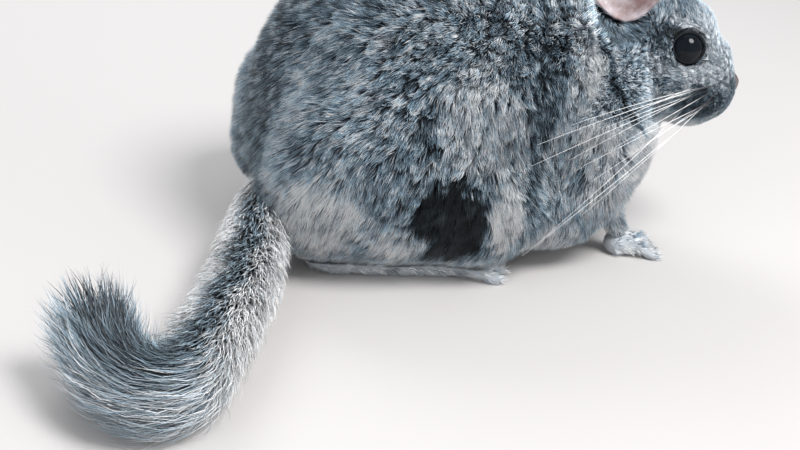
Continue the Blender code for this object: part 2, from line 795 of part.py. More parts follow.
def make_tail(torso, haunch, parts, helpers):
    """A core with overlapping locks that lie along it, parted into lengths at its seams."""
    tail = Tail()
    bm = bmesh.new()
    for i in range(TAIL_BALLS):
        t = i / (TAIL_BALLS - 1)
        place = Matrix.Translation(tail.at(t))
        bmesh.ops.create_icosphere(bm, subdivisions=3, radius=ramp(*TAIL_CORE, t), matrix=place)
    whole = fleshed("tail", bm, parts, "tail")
    locks = new_collection("locks")
    draw = random.Random(LOCK_SEED)
    for row in range(TAIL_ROWS):
        along = ramp(LOCKS_FROM, 1.0, row / (TAIL_ROWS - 1))
        for k in range(LOCKS_IN_ROW):
            shift, twist = (draw.uniform(-reach, reach) for reach in LOCK_SCATTER)
            t = min(1.0, along + shift)
            place, heading, side, up = tail.frame(t)
            angle = 2 * math.pi * (k + 0.5 * (row % 2) + twist) / LOCKS_IN_ROW
            out = side * math.cos(angle) + up * math.sin(angle)
            core, coat = ramp(*TAIL_CORE, t), ramp(*TAIL_COAT, t)
            length = ramp(*LOCK_LENGTH, t) * draw.uniform(1 - LOCK_UNEVENNESS, 1 + LOCK_UNEVENNESS)
            points, widths = [], []
            for j, share in enumerate(LOCK_SHAPE):
                u = j / (len(LOCK_SHAPE) - 1)
                ahead = t + u * length / tail.length
                here, way, beside, above = tail.frame(min(1.0, ahead))
                beyond = max(0.0, ahead - 1.0) * tail.length
                full = coat * draw.uniform(*LOCK_RISE)
                reach = ramp(LOCK_ROOT * core, full, math.sin(u * math.pi / 2))
                spread = beside * math.cos(angle) + above * math.sin(angle)
                points.append(here + way * beyond + spread * reach)
                widths.append(LOCK_WIDTH * share)
            add_lock(points, widths, LOCK_THICKNESS, out, "lock", locks)
    join = whole.modifiers.new("join", "BOOLEAN")
    join.operation = "UNION"
    join.operand_type = "COLLECTION"
    join.collection = locks
    join.solver = "MANIFOLD"
    apply_modifiers(whole)
    remove(*list(locks.objects))
    below = box("below", helpers, *BELOW_FLOOR)
    boolean(whole, below, "DIFFERENCE", "MANIFOLD")
    remove(below)
    edges = (0.0, *TAIL_SEAMS.values())
    for name, low, high in zip(TAIL_SEAMS, edges, edges[1:]):
        piece = copy_of(whole, name)
        for edge, sign in ((low, 1), (high, -1)):
            if 0 < edge < 1:
                place, heading, side, up = tail.frame(edge)
                turn = heading.to_track_quat("Y", "Z").to_matrix().to_4x4()
                span = sorted((sign * GAP / 2, sign * TAIL_REGION))
                near = (-TAIL_REGION, span[0], -TAIL_REGION)
                far = (TAIL_REGION, span[1], TAIL_REGION)
                region = box("length", helpers, near, far, Matrix.Translation(place) @ turn)
                boolean(piece, region, "INTERSECT", "MANIFOLD")
                remove(region)
        if low == 0:
            clear_of(piece, torso, haunch)
        else:
            keep_largest(piece, 0)
    remove(whole)


def centre_on_floor(objects):
    """Bring the middle of the whole model over the origin, standing on the floor."""
    corners = [obj.matrix_world @ v.co for obj in objects for v in obj.data.vertices]
    low = Vector(min(c[i] for c in corners) for i in range(3))
    high = Vector(max(c[i] for c in corners) for i in range(3))
    shift = -(low + high) / 2
    shift.z = -low.z
    for obj in objects:
        obj.data.transform(Matrix.Translation(shift))
    return shift


def main():
    clear_scene()
    parts = new_collection("chinchilla")
    helpers = new_collection("helpers")
    coat = new_material("grey_coat", (0.24, 0.26, 0.28), 0.85)
    pale = new_material("pale_coat", (0.62, 0.60, 0.57), 0.85)
    dark = new_material("eye_black", (0.012, 0.011, 0.012), 0.08)
    skin = new_material("ear_skin", (0.42, 0.33, 0.32), 0.6)

    flesh = make_flesh(helpers)
    made = divide_flesh(flesh, parts, helpers)
    remove(flesh)
    head, torso = made["head"], made["torso"]
    on_floor(torso, helpers)
    carve_face(head, helpers)
    for side, sign in (("left", 1), ("right", -1)):
        eye = add_eye(side, sign, head, parts, helpers)
        eye.data.materials.append(dark)
    keep_largest(head)
    for side, sign in (("left", 1), ("right", -1)):
        haunch = made["haunch_" + side]
        on_floor(haunch, helpers)
        ear = make_ear(side, sign, head, parts)
        clear_of(ear, made["neck"], torso)
        ear.data.materials.append(skin)
        leg, paw = make_forelimb(side, sign, torso, parts, helpers)
        foot = make_hindfoot(side, sign, torso, haunch, parts, helpers)
        for obj in (leg, paw, foot):
            obj.data.materials.append(pale)
    make_tail(torso, made["haunch_right"], parts, helpers)
    for obj in parts.objects:
        if not obj.data.materials:
            obj.data.materials.append(coat)
        obj.data.shade_smooth()
        obj.data.set_sharp_from_angle(angle=math.radians(40))
    centre_on_floor(list(parts.objects))


main()
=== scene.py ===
"""Looks for the chinchilla: skin, coat, ears, eyes, nose and whiskers, with floor, light and camera.

Lengths are in metres. The animal's own frame has its midline at x 0 and the floor at z 0, with the
head towards -y. The head's frame starts between the eyes: x to the left, y back, z up. Places that
to_animal and to_head give, and the marks, are in these frames in millimetres.
"""

from collections import namedtuple
from math import cos, pi, radians, sin, sqrt, tau

import bmesh
import bpy
import numpy as np
from mathutils import Matrix, Vector, kdtree


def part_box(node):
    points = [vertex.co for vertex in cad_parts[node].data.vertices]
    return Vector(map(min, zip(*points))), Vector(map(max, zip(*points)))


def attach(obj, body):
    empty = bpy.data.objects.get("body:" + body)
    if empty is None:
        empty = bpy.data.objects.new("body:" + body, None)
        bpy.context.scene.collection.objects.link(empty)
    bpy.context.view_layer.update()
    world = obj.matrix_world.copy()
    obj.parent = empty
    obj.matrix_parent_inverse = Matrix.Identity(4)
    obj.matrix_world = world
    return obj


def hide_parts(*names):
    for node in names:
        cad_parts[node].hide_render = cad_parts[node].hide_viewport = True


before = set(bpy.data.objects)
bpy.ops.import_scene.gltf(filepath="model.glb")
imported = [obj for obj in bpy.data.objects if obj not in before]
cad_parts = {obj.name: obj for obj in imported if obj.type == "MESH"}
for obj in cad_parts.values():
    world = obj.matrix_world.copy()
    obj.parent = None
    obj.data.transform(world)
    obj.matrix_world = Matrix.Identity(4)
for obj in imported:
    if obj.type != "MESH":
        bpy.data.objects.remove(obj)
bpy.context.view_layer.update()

MM = 0.001
SEED = 11
WAVES = 7

# The head's pitch in degrees, how far its frame starts below the middle of the eyes, and that middle
# in the animal's frame.
HEAD_PITCH = 9.5
EYE_LIFT = 0.5 * MM
EYES_IN_ANIMAL = Vector((0, -0.0845, 0.0800))

# The camera that fits the photograph: its azimuth, elevation and roll in degrees, its distance, its
# target in the animal's frame, and the width of its view in degrees.
CAMERA_ANGLES = (253, 24, 7)
CAMERA_DISTANCE = 0.60
CAMERA_TARGET = Vector((0, 0.0155, 0.0020))
CAMERA_WIDTH = 28.5

# Nodes of flesh that the skin replaces.
BODY_NODES = ("head", "torso", "neck", "haunch_left", "haunch_right", "foreleg_left", "foreleg_right")
PAW_NODES = ("forepaw_left", "forepaw_right", "hindfoot_left", "hindfoot_right")
TAIL_NODES = tuple(n for n in sorted(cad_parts) if n.startswith("tail"))

# Depth of the coat over the skin, and lengths of its hair.
BODY_DEPTH = 5.4 * MM
BELLY_DEPTH = 3.2 * MM
LEG_DEPTH = 1.2 * MM
FACE_DEPTH = (0.5 * MM, 3.4 * MM)
BODY_HAIR = 6.8 * MM
RUMP_HAIR = 7.8 * MM
BELLY_HAIR = 6.6 * MM
LEG_HAIR = 4.4 * MM
FACE_HAIR = (1.2 * MM, 4.8 * MM)
PAW_HAIR = 4.4 * MM
PAW_DEPTH = 1.0 * MM

# How far the bridge of the nose lies inside the solid head, and its centre and size in the head's
# millimetres.
BRIDGE_SLIM = 1.0 * MM
BRIDGE = ((0, -22, 6), (18, 13, 19))

# How much deeper the skin lies round the eyes, where the solid head has its lids.
LID_SINK = 0.9 * MM

# The fold between head and shoulder: its depth, its half width and its bow over the head's height.
FOLD_DEPTH = 1.3 * MM
FOLD_WIDTH = 1.7
FOLD_BOW = (33.6, 0.42, -0.0135)

# Numbers of tufts, and how wide one is before the random spread.
BODY_TUFTS = 270000
HEAD_TUFTS = 90000
PAW_TUFTS = 12000
TAIL_TUFTS = 14000
EAR_TUFTS = 3200
BODY_TUFT = 0.52 * MM
PAW_TUFT = 0.40 * MM
FACE_TUFT = 0.25 * MM
TAIL_TUFT = 0.48 * MM

# The tail's centreline, in the animal's millimetres.
TAIL_ROUTE = [
    (0, 58, 26), (-18, 71, 20.5), (-40, 79, 17), (-66, 86.5, 14), (-92, 96.5, 13.5),
    (-116, 107, 13.2), (-134, 117, 13.2), (-138, 127, 14), (-129, 134.5, 15.5), (-115, 137.5, 18),
]

# The tail's core and coat, as radii at its base and its end, and the lengths of its hair there.
TAIL_CORE = (6.5 * MM, 4.0 * MM)
TAIL_COAT = (13.0 * MM, 15.4 * MM)
TAIL_HAIR = (14 * MM, 20 * MM)

# Ears, in the head's frame: foot, size, depth of the cup, thickness, and angles in degrees.
EAR_FOOT = Vector((24.5, 25.5, 4.5)) * MM
EAR_LENGTH = 54 * MM
EAR_WIDTH = 40 * MM
EAR_CUP = 11 * MM
EAR_WALL = 0.9 * MM
EAR_BACK = 20
EAR_OUT = 18
EAR_TURN = 14

# The rows and columns of the ear's grid, and the fine ridges across its cup.
EAR_GRID = (44, 40)
EAR_RIDGES = 21
EAR_RIDGE = 0.35 * MM

# Hair on the ear: the share on the rim, its length and tone there and on the back, and its width.
EAR_RIM_SHARE = 0.42
EAR_HAIR = (2.6, 3.4)
EAR_TONES = (0.84, 0.42)
EAR_TUFT = 0.22 * MM

# The hollow at an ear's foot that the coat stays out of: its centre and size in the ear's millimetres.
EAR_HOLLOW = ((0, -0.5, 12.5), (9.5, 9, 12))

# Eyes: their nodes by side, the globe and the degrees by which it looks forward and up. Lids: their
# ring, the radius of their roll, how far out they lie, and their rows and sides.
EYES = {1: "eye_left", -1: "eye_right"}
EYE_RADIUS = 6.7 * MM
EYE_FORWARD = 4
EYE_UP = 15
LID_RADIUS = 5.6 * MM
LID_THICKNESS = 0.5 * MM
LID_OUT = 4.0 * MM
LID_GRID = (56, 12)

# Round an eye, in millimetres: the opening that tufts keep off, and where the coat starts, lid skin
# ends and the dark ring fades. In metres: the stretch of the eye's axis that tufts keep off.
EYE_OPENING = 5.8
COAT_FROM_EYE = 6.75
LID_SKIN_TO = 7.4
EYE_RING = (6.7, 7.3)
EYE_STRETCH = (-6 * MM, 14 * MM)

# The tip of the nose in the head's millimetres, and how far from it skin ends and the coat starts.
NOSE_PLACE = np.array(Vector((0, -27.0, -9.0)) * MM) / MM
NOSE_SKIN_TO = 4.0
COAT_FROM_NOSE = 4.2

# How far tips stay over the floor, and the random spread of that, for the body and the tail.
FLOOR_GAP = (0.3 * MM, 0.5 * MM)
TAIL_FLOOR_GAP = (0.4 * MM, 0.8 * MM)

draw = np.random.default_rng(SEED)


def middle(node):
    """The centre of a node's box."""
    low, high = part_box(node)
    return (Vector(low) + Vector(high)) / 2


def head_matrix():
    """The head's frame, from the places of the eyes."""
    left, right = middle("eye_left"), middle("eye_right")
    x = (left - right).normalized()
    ahead = x.cross(Vector((0, 0, 1))).normalized()
    ahead = Matrix.Rotation(radians(HEAD_PITCH), 3, x) @ ahead
    z = x.cross(-ahead)
    turn = Matrix((x, -ahead, z)).transposed().to_4x4()
    return Matrix.Translation((left + right) / 2 - z * EYE_LIFT) @ turn


HEAD = head_matrix()
ANIMAL = (middle("eye_left") + middle("eye_right")) / 2 - EYES_IN_ANIMAL


def ease(value, low, high):
    """0 below low, 1 above high, smooth between."""
    t = np.clip((value - low) / (high - low), 0, 1)
    return t * t * (3 - 2 * t)


def fade(value, low, high):
    """1 below low, 0 above high, smooth between."""
    return 1 - ease(value, low, high)


def mix(a, b, t):
    """The value t of the way from a to b."""
    return a + (b - a) * t


def length(v):
    """Lengths of vectors."""
    return np.linalg.norm(v, axis=-1)


def unit(v):
    """Vectors scaled to length 1."""
    return v / np.maximum(np.linalg.norm(v, axis=-1, keepdims=True), 1e-9)


def dot(a, b):
    """Row by row dot product, kept as a column."""
    return np.sum(a * b, axis=-1, keepdims=True)


def laid(way, normals):
    """Directions laid down along a surface."""
    return unit(way - normals * dot(way, normals))


def in_frame(points, matrix):
    """Points in a matrix's frame, in millimetres."""
    inverse = np.array(matrix.inverted())
    return (points @ inverse[:3, :3].T + inverse[:3, 3]) / MM


def to_head(points):
    """Points in the head's frame, in millimetres."""
    return in_frame(points, HEAD)


def to_animal(points):
    """Points in the animal's frame, in millimetres."""
    return (points - np.array(ANIMAL)) / MM


def waves(points, size, seed):
    """Smooth noise from -1 to 1 whose bumps are about this size."""
    local = np.random.default_rng(seed)
    total = np.zeros(len(points))
    for _ in range(WAVES):
        way = unit(local.normal(size=3)) * 2 * pi / (size * local.uniform(0.7, 1.5))
        total += np.sin(points @ way + local.uniform(0, 2 * pi))
    return np.clip(total / sqrt(WAVES), -1.6, 1.6) / 1.6


def linked(name, data):
    """A new object in the scene."""
    obj = bpy.data.objects.new(name, data)
    bpy.context.collection.objects.link(obj)
    return obj


def mesh_from(bm, name):
    """A mesh from a bmesh, which is freed."""
    mesh = bpy.data.meshes.new(name)
    bm.to_mesh(mesh)
    bm.free()
    return mesh


def mesh_object(mesh, material):
    """A smooth piece, named after its mesh, that rides on the part."""
    obj = linked(mesh.name, mesh)
    mesh.materials.append(material)
    mesh.shade_smooth()
    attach(obj, "root")
    return obj


def ring_points(centre, across, up, radius, sides):
    """Points evenly round a centre."""
    turns = (tau * k / sides for k in range(sides))
    return [centre + (across * cos(turn) + up * sin(turn)) * radius for turn in turns]


def join_rings(bm, pairs):
    """Faces between each pair of rings of vertices."""
    for near, far in pairs:
        sides = len(near)
        for k in range(sides):
            bm.faces.new((near[k], near[(k + 1) % sides], far[(k + 1) % sides], far[k]))


def fused_nodes(nodes, voxel, rounds, kept=None):
    """One softened mesh round copies of CAD nodes, or the part of it that kept names."""
    bm = bmesh.new()
    for node in nodes:
        bm.from_mesh(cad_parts[node].data)
    bmesh.ops.remove_doubles(bm, verts=bm.verts, dist=0.01 * MM)
    obj = linked("fused", mesh_from(bm, "fused"))
    fuse = obj.modifiers.new("fuse", "REMESH")
    fuse.mode = "VOXEL"
    fuse.voxel_size = voxel
    graph = bpy.context.evaluated_depsgraph_get()
    made = bpy.data.meshes.new_from_object(obj.evaluated_get(graph))
    bpy.data.objects.remove(obj)
    soften(made, rounds)
    if kept:
        outside = ~kept(vertex_array(made))
        bm = bmesh.new()
        bm.from_mesh(made)
        bmesh.ops.delete(bm, geom=[v for v, out in zip(bm.verts, outside) if out], context="VERTS")
        bm.to_mesh(made)
        bm.free()
    return made


def soften(mesh, rounds):
    """A mesh drawn towards its neighbours' mean, less on the head than on the body."""
    points = vertex_array(mesh)
    ends = np.empty(len(mesh.edges) * 2, dtype=np.int64)
    mesh.edges.foreach_get("vertices", ends)
    ends = ends.reshape(-1, 2)
    ends = np.concatenate([ends, ends[:, ::-1]])
    count = np.bincount(ends[:, 0], minlength=len(points))
    share = mix(0.5, 0.16, head_share(points))[:, None]
    for _ in range(rounds):
        mean = [np.bincount(ends[:, 0], points[ends[:, 1], k], len(points)) / count for k in range(3)]
        points = points + (np.stack(mean, axis=1) - points) * share
    mesh.vertices.foreach_set("co", points.reshape(-1))
    mesh.update()


def vertex_array(mesh, name="co"):
    """The places of a mesh's vertices, or their normals, as an array."""
    out = np.empty(len(mesh.vertices) * 3)
    mesh.vertices.foreach_get(name, out)
    return out.reshape(-1, 3)


def set_values(mesh, name, values):
    """A named number for each vertex of a mesh."""
    mesh.attributes.new(name, "FLOAT", "POINT").data.foreach_set("value", values)


def point_tree(points):
    """A search tree of points."""
    tree = kdtree.KDTree(len(points))
    for i, point in enumerate(points):
        tree.insert(point, i)
    tree.balance()
    return tree


def nearest(tree, points):
    """Index in a tree of what is nearest each point."""
    return np.array([tree.find(p)[1] for p in points])


class Surface:
    """The coat's outer surface, where tufts are planted."""

    def __init__(self, mesh):
        mesh.calc_loop_triangles()
        self.points = vertex_array(mesh)
        self.normals = vertex_array(mesh, "normal")
        corners = np.empty(len(mesh.loop_triangles) * 3, dtype=np.int64)
        mesh.loop_triangles.foreach_get("vertices", corners)
        self.triangles = corners.reshape(-1, 3)
        self.tree = point_tree(self.points)

    def sample(self, count, density):
        """Random points, with their normals, as dense as density says."""
        a, b, c = (self.points[self.triangles[:, k]] for k in range(3))
        area = length(np.cross(b - a, c - a))
        weight = area * density((a + b + c) / 3)
        pick = draw.choice(len(area), count, p=weight / weight.sum())
        s, t = np.sqrt(draw.random((count, 1))), draw.random((count, 1))
        mixes = (1 - s, s * (1 - t), s * t)
        corners = self.triangles[pick]
        point = sum(self.points[corners[:, k]] * m for k, m in enumerate(mixes))
        normal = sum(self.normals[corners[:, k]] * m for k, m in enumerate(mixes))
        return point, unit(normal)

    def bring(self, points, heights):
        """Points moved to these heights over the surface."""
        near = nearest(self.tree, points)
        over = dot(points - self.points[near], self.normals[near])
        return points + self.normals[near] * (heights[:, None] - over)


def head_share(points):
    """1 on the head, 0 on the body, smooth between."""
    _, y, z = to_head(points).T
    return fade(y + 0.35 * z, 19, 30) * ease(z, -36, -27)


def foreleg(y, z, low, high, rear=-50):
    """1 low on the forelegs, 0 elsewhere."""
    return fade(z, low, high) * fade(y, -60, rear)


def coat_depth(points):
    """Depth of the coat: least on the muzzle, the legs and round the eyes."""
    _, y, z = to_animal(points).T
    body = mix(BODY_DEPTH, BELLY_DEPTH, fade(z, 6, 24))
    body = mix(body, LEG_DEPTH, foreleg(y, z, 8, 20, -52))
    from_eye = eye_distance(points)
    head = mix(*FACE_DEPTH, ease(nose_distance(points), 6, 60))
    head = head * mix(0.3, 1, ease(from_eye, 7.5, 14))
    return mix(body, head, head_share(points)) + LID_SINK * fade(from_eye, 7.5, 10)


def hair_length(points):
    """Length of the hair: shortest at the nose, longest on the rump."""
    _, y, z = to_animal(points).T
    body = mix(BODY_HAIR, RUMP_HAIR, ease(y, 30, 70))
    body = mix(mix(body, BELLY_HAIR, fade(z, 8, 22)), LEG_HAIR, foreleg(y, z, 10, 22))
    head = mix(*FACE_HAIR, ease(nose_distance(points), 2, 62))
    head = head * mix(0.6, 1, ease(eye_distance(points), 8, 15))
    return mix(body, head, head_share(points))


def reach_of(place, centre, size):
    """Distance from the centre of an ellipsoid of this size, 1 on its surface."""
    return length((place - np.array(centre)) / np.array(size))


def slimming(points):
    """How far the coat lies inside the solids: along the bridge of the nose and in the fold."""
    bridge = BRIDGE_SLIM * fade(reach_of(to_head(points), *BRIDGE), 0.35, 1.0)
    line, beside = fold(points)
    return bridge + FOLD_DEPTH * line * np.exp(-(beside / FOLD_WIDTH) ** 2)


def fold(points):
    """How plain the fold is, and how far behind it points are, in millimetres."""
    place = to_head(points)
    x, y, z = place.T
    bow = sum(share * z ** power for power, share in enumerate(FOLD_BOW))
    plain = ease(np.abs(x), 12, 24) * ease(z, -38, -28) * fade(z, 12, 24)
    return plain, y - bow + 1.5 * waves(place, 8, 31)


def nose_distance(points):
    """Distance to the tip of the nose, in millimetres."""
    return length(to_head(points) - NOSE_PLACE)


def eye_distance(points):
    """Distance to the nearer eye's centre, in millimetres."""
    eyes = [np.array(middle(node)) for node in EYES.values()]
    return np.min([length(points - eye) for eye in eyes], axis=0) / MM


def creases(place, size, seed):
    """1 along fine wandering lines in the coat, 0 between them: where the coat gets painted shade."""
    return fade(np.abs(waves(place, size, seed)), 0.02, 0.15)


def grain(place, tone, strength):
    """A tone with small pale and dark flecks of clumped hair tips."""
    fine = waves(place, 2.6, 14)
    pale = tone + strength * ease(fine, 0.30, 0.65)
    return np.clip(pale - 0.6 * strength * ease(-fine, 0.30, 0.65), 0, 1)


def spots(place, tone, marks):
    """A tone with ragged-edged marks laid over it: centre, size, tone and strength of each."""
    ragged = 0.14 * waves(place, 9, 8) + 0.10 * waves(place, 4, 9)
    for centre, size, mark, strength in marks:
        reach = reach_of(place, centre, size) + ragged
        tone = mix(tone, mark, strength * fade(reach, 0.62, 1.0))
    return tone


# Marks on the body, mirrored to both sides, in the animal's millimetres.
BODY_MARKS = [
    ((-50, 10, 62), (22, 17, 26), 0.86, 0.9),
    ((-50, 60, 26), (20, 22, 18), 0.96, 0.95),
    ((-52, -5, 50), (16, 11, 28), 0.80, 0.85),
    ((-46, -17, 64), (16, 6, 44), 0.16, 0.85),
    ((-46, -29, 46), (16, 9, 28), 0.70, 0.8),
    ((-40, -41, 72), (18, 13, 34), 1.0, 0.95),
    ((-28, -48, 92), (14, 10, 13), 0.10, 0.9),
    ((-40, -50, 36), (18, 15, 20), 0.94, 0.9),
    ((-60, 17, 26), (28, 20, 22), 0.0, 1.0),
    ((-57, -6, 27), (16, 9, 17), 1.0, 1.0),
    ((-55, 33, 17), (22, 13, 9), 0.95, 0.9),
    ((-50, -30, 13), (24, 20, 8), 0.93, 0.9),
]
CHEST_MARKS = [((0, -72, 44), (54, 30, 30), 1.0, 1.0), ((0, -66, 22), (42, 26, 16), 0.90, 0.9)]
TAIL_BASE = [((-4, 78, 30), (28, 24, 28), 0.22, 0.9)]


# Tones of the coat, from 0 for black to 1 for white.
FLANK_TONE = 0.56
BACK_TONE = 0.09
SPECK_TONE = 0.66
SHOULDER_TONES = (0.26, 0.92)
RUFF_TONE = 0.78
BELLY_TONE = 0.9
FACE_TONE = 0.60
CROWN_TONE = 0.30
RING_TONE = 0.05
CHIN_TONE = 0.88
# Painted shade: the dark tone laid along the fold between head and shoulder.
FOLD_SHADE_TONE = 0.08


def body_tone(points):
    """How pale the coat is over the body."""
    place = to_animal(points)
    x, y, z = place.T
    side = np.abs(x)
    tone = FLANK_TONE + 0.10 * waves(place, 34, 5) + 0.12 * waves(place, 12, 6)
    ragged = waves(place, 26, 3) * 5 + waves(place, 9, 4) * 4
    back = fade(side + ragged, 12, 27) * ease(z, 14, 46)
    tone = mix(tone, BACK_TONE, 0.93 * back)
    tone = mix(tone, SPECK_TONE, 0.9 * back * ease(waves(place, 3.4, 45), 0.22, 0.45))
    streaks = 0.5 + 0.5 * np.sin(y * 0.60 + 0.08 * z + waves(place, 40, 7) * 2.2)
    shoulder = ease(-y, 10, 22) * fade(-y, 46, 58) * ease(z, 30, 52)
    tone = mix(tone, mix(*SHOULDER_TONES, streaks ** 1.1), shoulder * 0.85)
    line, beside = fold(points)
    tone = mix(tone, RUFF_TONE, 0.8 * line * np.exp(-((beside - 8) / 5) ** 2))
    tone = spots(place, tone, TAIL_BASE)
    tone = mix(tone, BELLY_TONE, fade(z + waves(place, 12, 10) * 2, 6, 12))
    tone = spots(np.stack([-side, y, z], axis=1), tone, BODY_MARKS)
    tone = spots(place, tone, CHEST_MARKS)
    # Painted shade: the coat is darker along fine creases, except where it is white.
    lines = np.maximum(creases(place, 11, 41), 0.8 * creases(place, 6, 42))
    tone = mix(tone, 0.5 * tone, 0.8 * lines * fade(tone, 0.85, 1.0))
    plain = 1 - 0.7 * ease(tone, 0.85, 1.0)
    return grain(place, tone, 0.36 * ease(tone, 0.02, 0.12) * plain)


# Marks on the head, mirrored to both sides, in the head's millimetres. The dark ones behind the eye and
# under the ear are painted shade of folds.
HEAD_MARKS_AND_SHADE = [
    ((12, -14, 6), (17, 17, 20), 0.70, 0.95),
    ((20, -4, 12), (15, 16, 9), 0.74, 0.9),
    ((21, -4, -9), (15, 16, 8), 0.76, 0.95),
    ((26, 12, -13), (12, 16, 12), 0.74, 0.85),
    ((28, 3, -13), (6, 9, 3), 0.28, 0.6),
    ((15, -11, -19), (17, 13, 10), 0.20, 0.95),
    # Painted shade: the dark fold from behind the eye towards the ear.
    ((20, 15, 3), (12, 12, 8), 0.26, 0.8),
    ((22, 6.5, 5), (8, 7, 3), 0.06, 0.9),
    # Painted shade: the dark fold under the foot of the ear.
    ((22, 26, -2), (17, 9, 13), 0.18, 0.85),
    ((3, -25, -15), (10, 8, 11), 0.52, 0.85),
]


def head_tone(points):
    """How pale the coat is over the head."""
    place = to_head(points)
    x, y, z = place.T
    side = np.abs(x)
    tone = FACE_TONE + 0.10 * waves(place, 9, 12)
    crown = fade(side, 3, 12) * ease(z, 8, 16) * ease(y, -8, 8)
    tone = spots(np.stack([side, y, z], axis=1), mix(tone, CROWN_TONE, crown), HEAD_MARKS_AND_SHADE)
    # Painted shade: the coat is darker along fine creases behind the eyes.
    lines = creases(place * np.array([1, 1, 1.8]), 8, 43) * ease(y, -4, 6)
    tone = grain(place, mix(tone, 0.35 * tone, 0.9 * lines), 0.22)
    tone = mix(tone, RING_TONE, fade(eye_distance(points), *EYE_RING))
    return mix(tone, CHIN_TONE, ease(-z, 26, 30))


def coat_tone(points):
    """How pale the coat is anywhere but on the tail, with painted shade along the fold."""
    line, beside = fold(points)
    tone = mix(body_tone(points), head_tone(points), head_share(points))
    # Painted shade darkens the coat along the fold between head and shoulder.
    return mix(tone, FOLD_SHADE_TONE, 0.9 * line * np.exp(-(beside / FOLD_WIDTH) ** 2))


def coat_flow(points, normals):
    """The lie of the coat anywhere but on the tail."""
    share = head_share(points)[:, None]
    return unit(mix(body_flow(points, normals), head_flow(points, normals), share))


def body_flow(points, normals):
    """The lie of the coat over the body: back, down the sides and down the legs."""
    place = to_animal(points)
    x, y, z = place.T
    side = ease(np.abs(x), 14, 50)
    leg = foreleg(y, z, 14, 26)
    down = -0.30 - 0.75 * side - 0.8 * ease(y, 38, 66) - 1.6 * leg
    way = laid(np.stack([0.25 * np.sign(x) * side, 1.0 - 1.3 * leg, down], axis=1), normals)
    turn = waves(place, 30, 21)[:, None] * 0.35 + waves(place, 9, 22)[:, None] * 0.12
    return unit(way + np.cross(normals, way) * turn)


def head_flow(points, normals):
    """The lie of the coat over the head: away from the nose."""
    place = to_head(points)
    way = (place - NOSE_PLACE) * np.array([0.7, 1, 0.45]) + np.array([0, 6, 0])
    way = laid(way @ np.array(HEAD)[:3, :3].T, normals)
    return unit(way + np.cross(normals, way) * waves(place, 9, 23)[:, None] * 0.22)


def keep_off_eyes(points):
    """Points moved out of the opening of either eye."""
    moved = np.array(points)
    for sign, node in EYES.items():
        centre = np.array(middle(node))
        axis = np.array(eye_matrix(sign).to_3x3() @ Vector((0, -1, 0)))
        from_eye = moved - centre
        along = from_eye @ axis
        beside = from_eye - along[:, None] * axis
        reach = length(beside) / MM
        near = (along > EYE_STRETCH[0]) & (along < EYE_STRETCH[1]) & (reach < EYE_OPENING)
        moved[near] += beside[near] * ((EYE_OPENING / np.maximum(reach[near], 0.2)) - 1)[:, None]
    return moved


def eye_matrix(sign):
    """The eye's frame: its -Y axis looks out of the socket."""
    place = HEAD.inverted() @ middle(EYES[sign])
    up = Matrix.Rotation(radians(-EYE_UP), 4, "X")
    out = Matrix.Rotation(radians(sign * (90 - EYE_FORWARD)), 4, "Z")
    return HEAD @ Matrix.Translation(place) @ out @ up


# Many thin tapered tufts, kept as arrays until they become meshes.
Tufts = namedtuple("Tufts", "path normals width tone vary unwrap")

# How deep, how long and which way a coat lies, and how far its tips rise.
Lay = namedtuple("Lay", "depth length flow rise")

# A tuft's sides, how flat it is, and the size of its patch in the map.
TUFT_SIDES = 3
TUFT_FLATNESS = 0.45
PATCH = 0.003


def tuft_mesh(name, tufts, taper):
    """A mesh of pointed tufts, each with its patch in the map OFBake."""
    rings, sides = len(tufts.path) - 1, TUFT_SIDES
    count = len(tufts.path[0])
    per_tuft = rings * sides + 1
    points = np.empty((count, per_tuft, 3))
    uv = np.empty((count, per_tuft, 2))
    along = np.empty((count, per_tuft))
    for j in range(rings):
        ahead = unit(tufts.path[j + 1] - tufts.path[j])
        across = unit(np.cross(ahead, tufts.normals))
        out = np.cross(across, ahead)
        radius = (tufts.width * taper[j] / 2)[:, None]
        for k in range(sides):
            angle = 2 * pi * k / sides + pi / 2
            offset = across * cos(angle) + out * (sin(angle) * TUFT_FLATNESS)
            at = j * sides + k
            points[:, at] = tufts.path[j] + offset * radius
            uv[:, at] = tufts.unwrap + np.array([k / (sides - 1) - 0.5, j / rings - 0.5]) * PATCH
            along[:, at] = j / rings
    points[:, -1] = tufts.path[-1]
    uv[:, -1] = tufts.unwrap + np.array([0, 0.5]) * PATCH
    along[:, -1] = 1
    faces = []
    for j in range(rings - 1):
        for k in range(sides):
            a, b = j * sides + k, j * sides + (k + 1) % sides
            faces += [(a, b, b + sides), (a, b + sides, a + sides)]
    last = (rings - 1) * sides
    faces += [(last + k, last + (k + 1) % sides, per_tuft - 1) for k in range(sides)]
    faces = np.array(faces)
    start = (np.arange(count) * per_tuft)[:, None, None]
    corners = (start + faces[None]).reshape(-1)
    mesh = bpy.data.meshes.new(name)
    mesh.vertices.add(count * per_tuft)
    mesh.vertices.foreach_set("co", points.reshape(-1))
    mesh.loops.add(len(corners))
    mesh.loops.foreach_set("vertex_index", corners)
    mesh.polygons.add(len(corners) // 3)
    mesh.polygons.foreach_set("loop_start", np.arange(0, len(corners), 3))
    layer = mesh.uv_layers.new(name="OFBake")
    layer.uv.foreach_set("vector", uv.reshape(-1, 2)[corners].reshape(-1))
    set_values(mesh, "along", along.reshape(-1))
    set_values(mesh, "tone", np.repeat(tufts.tone, per_tuft))
    set_values(mesh, "vary", np.repeat(tufts.vary, per_tuft))
    mesh.update()
    return mesh


class Clumps:
    """Groups of neighbouring tufts that lean, rise and shade alike."""

    def __init__(self, points, per_clump):
        count = max(1, len(points) // per_clump)
        self.chosen = draw.choice(len(points), count, replace=False)
        self.of = nearest(point_tree(points[self.chosen]), points)
        self.to_centre = points[self.chosen[self.of]] - points

    def value(self, low, high):
        """One random number for each clump, given to each of its tufts."""
        return draw.uniform(low, high, len(self.chosen))[self.of]


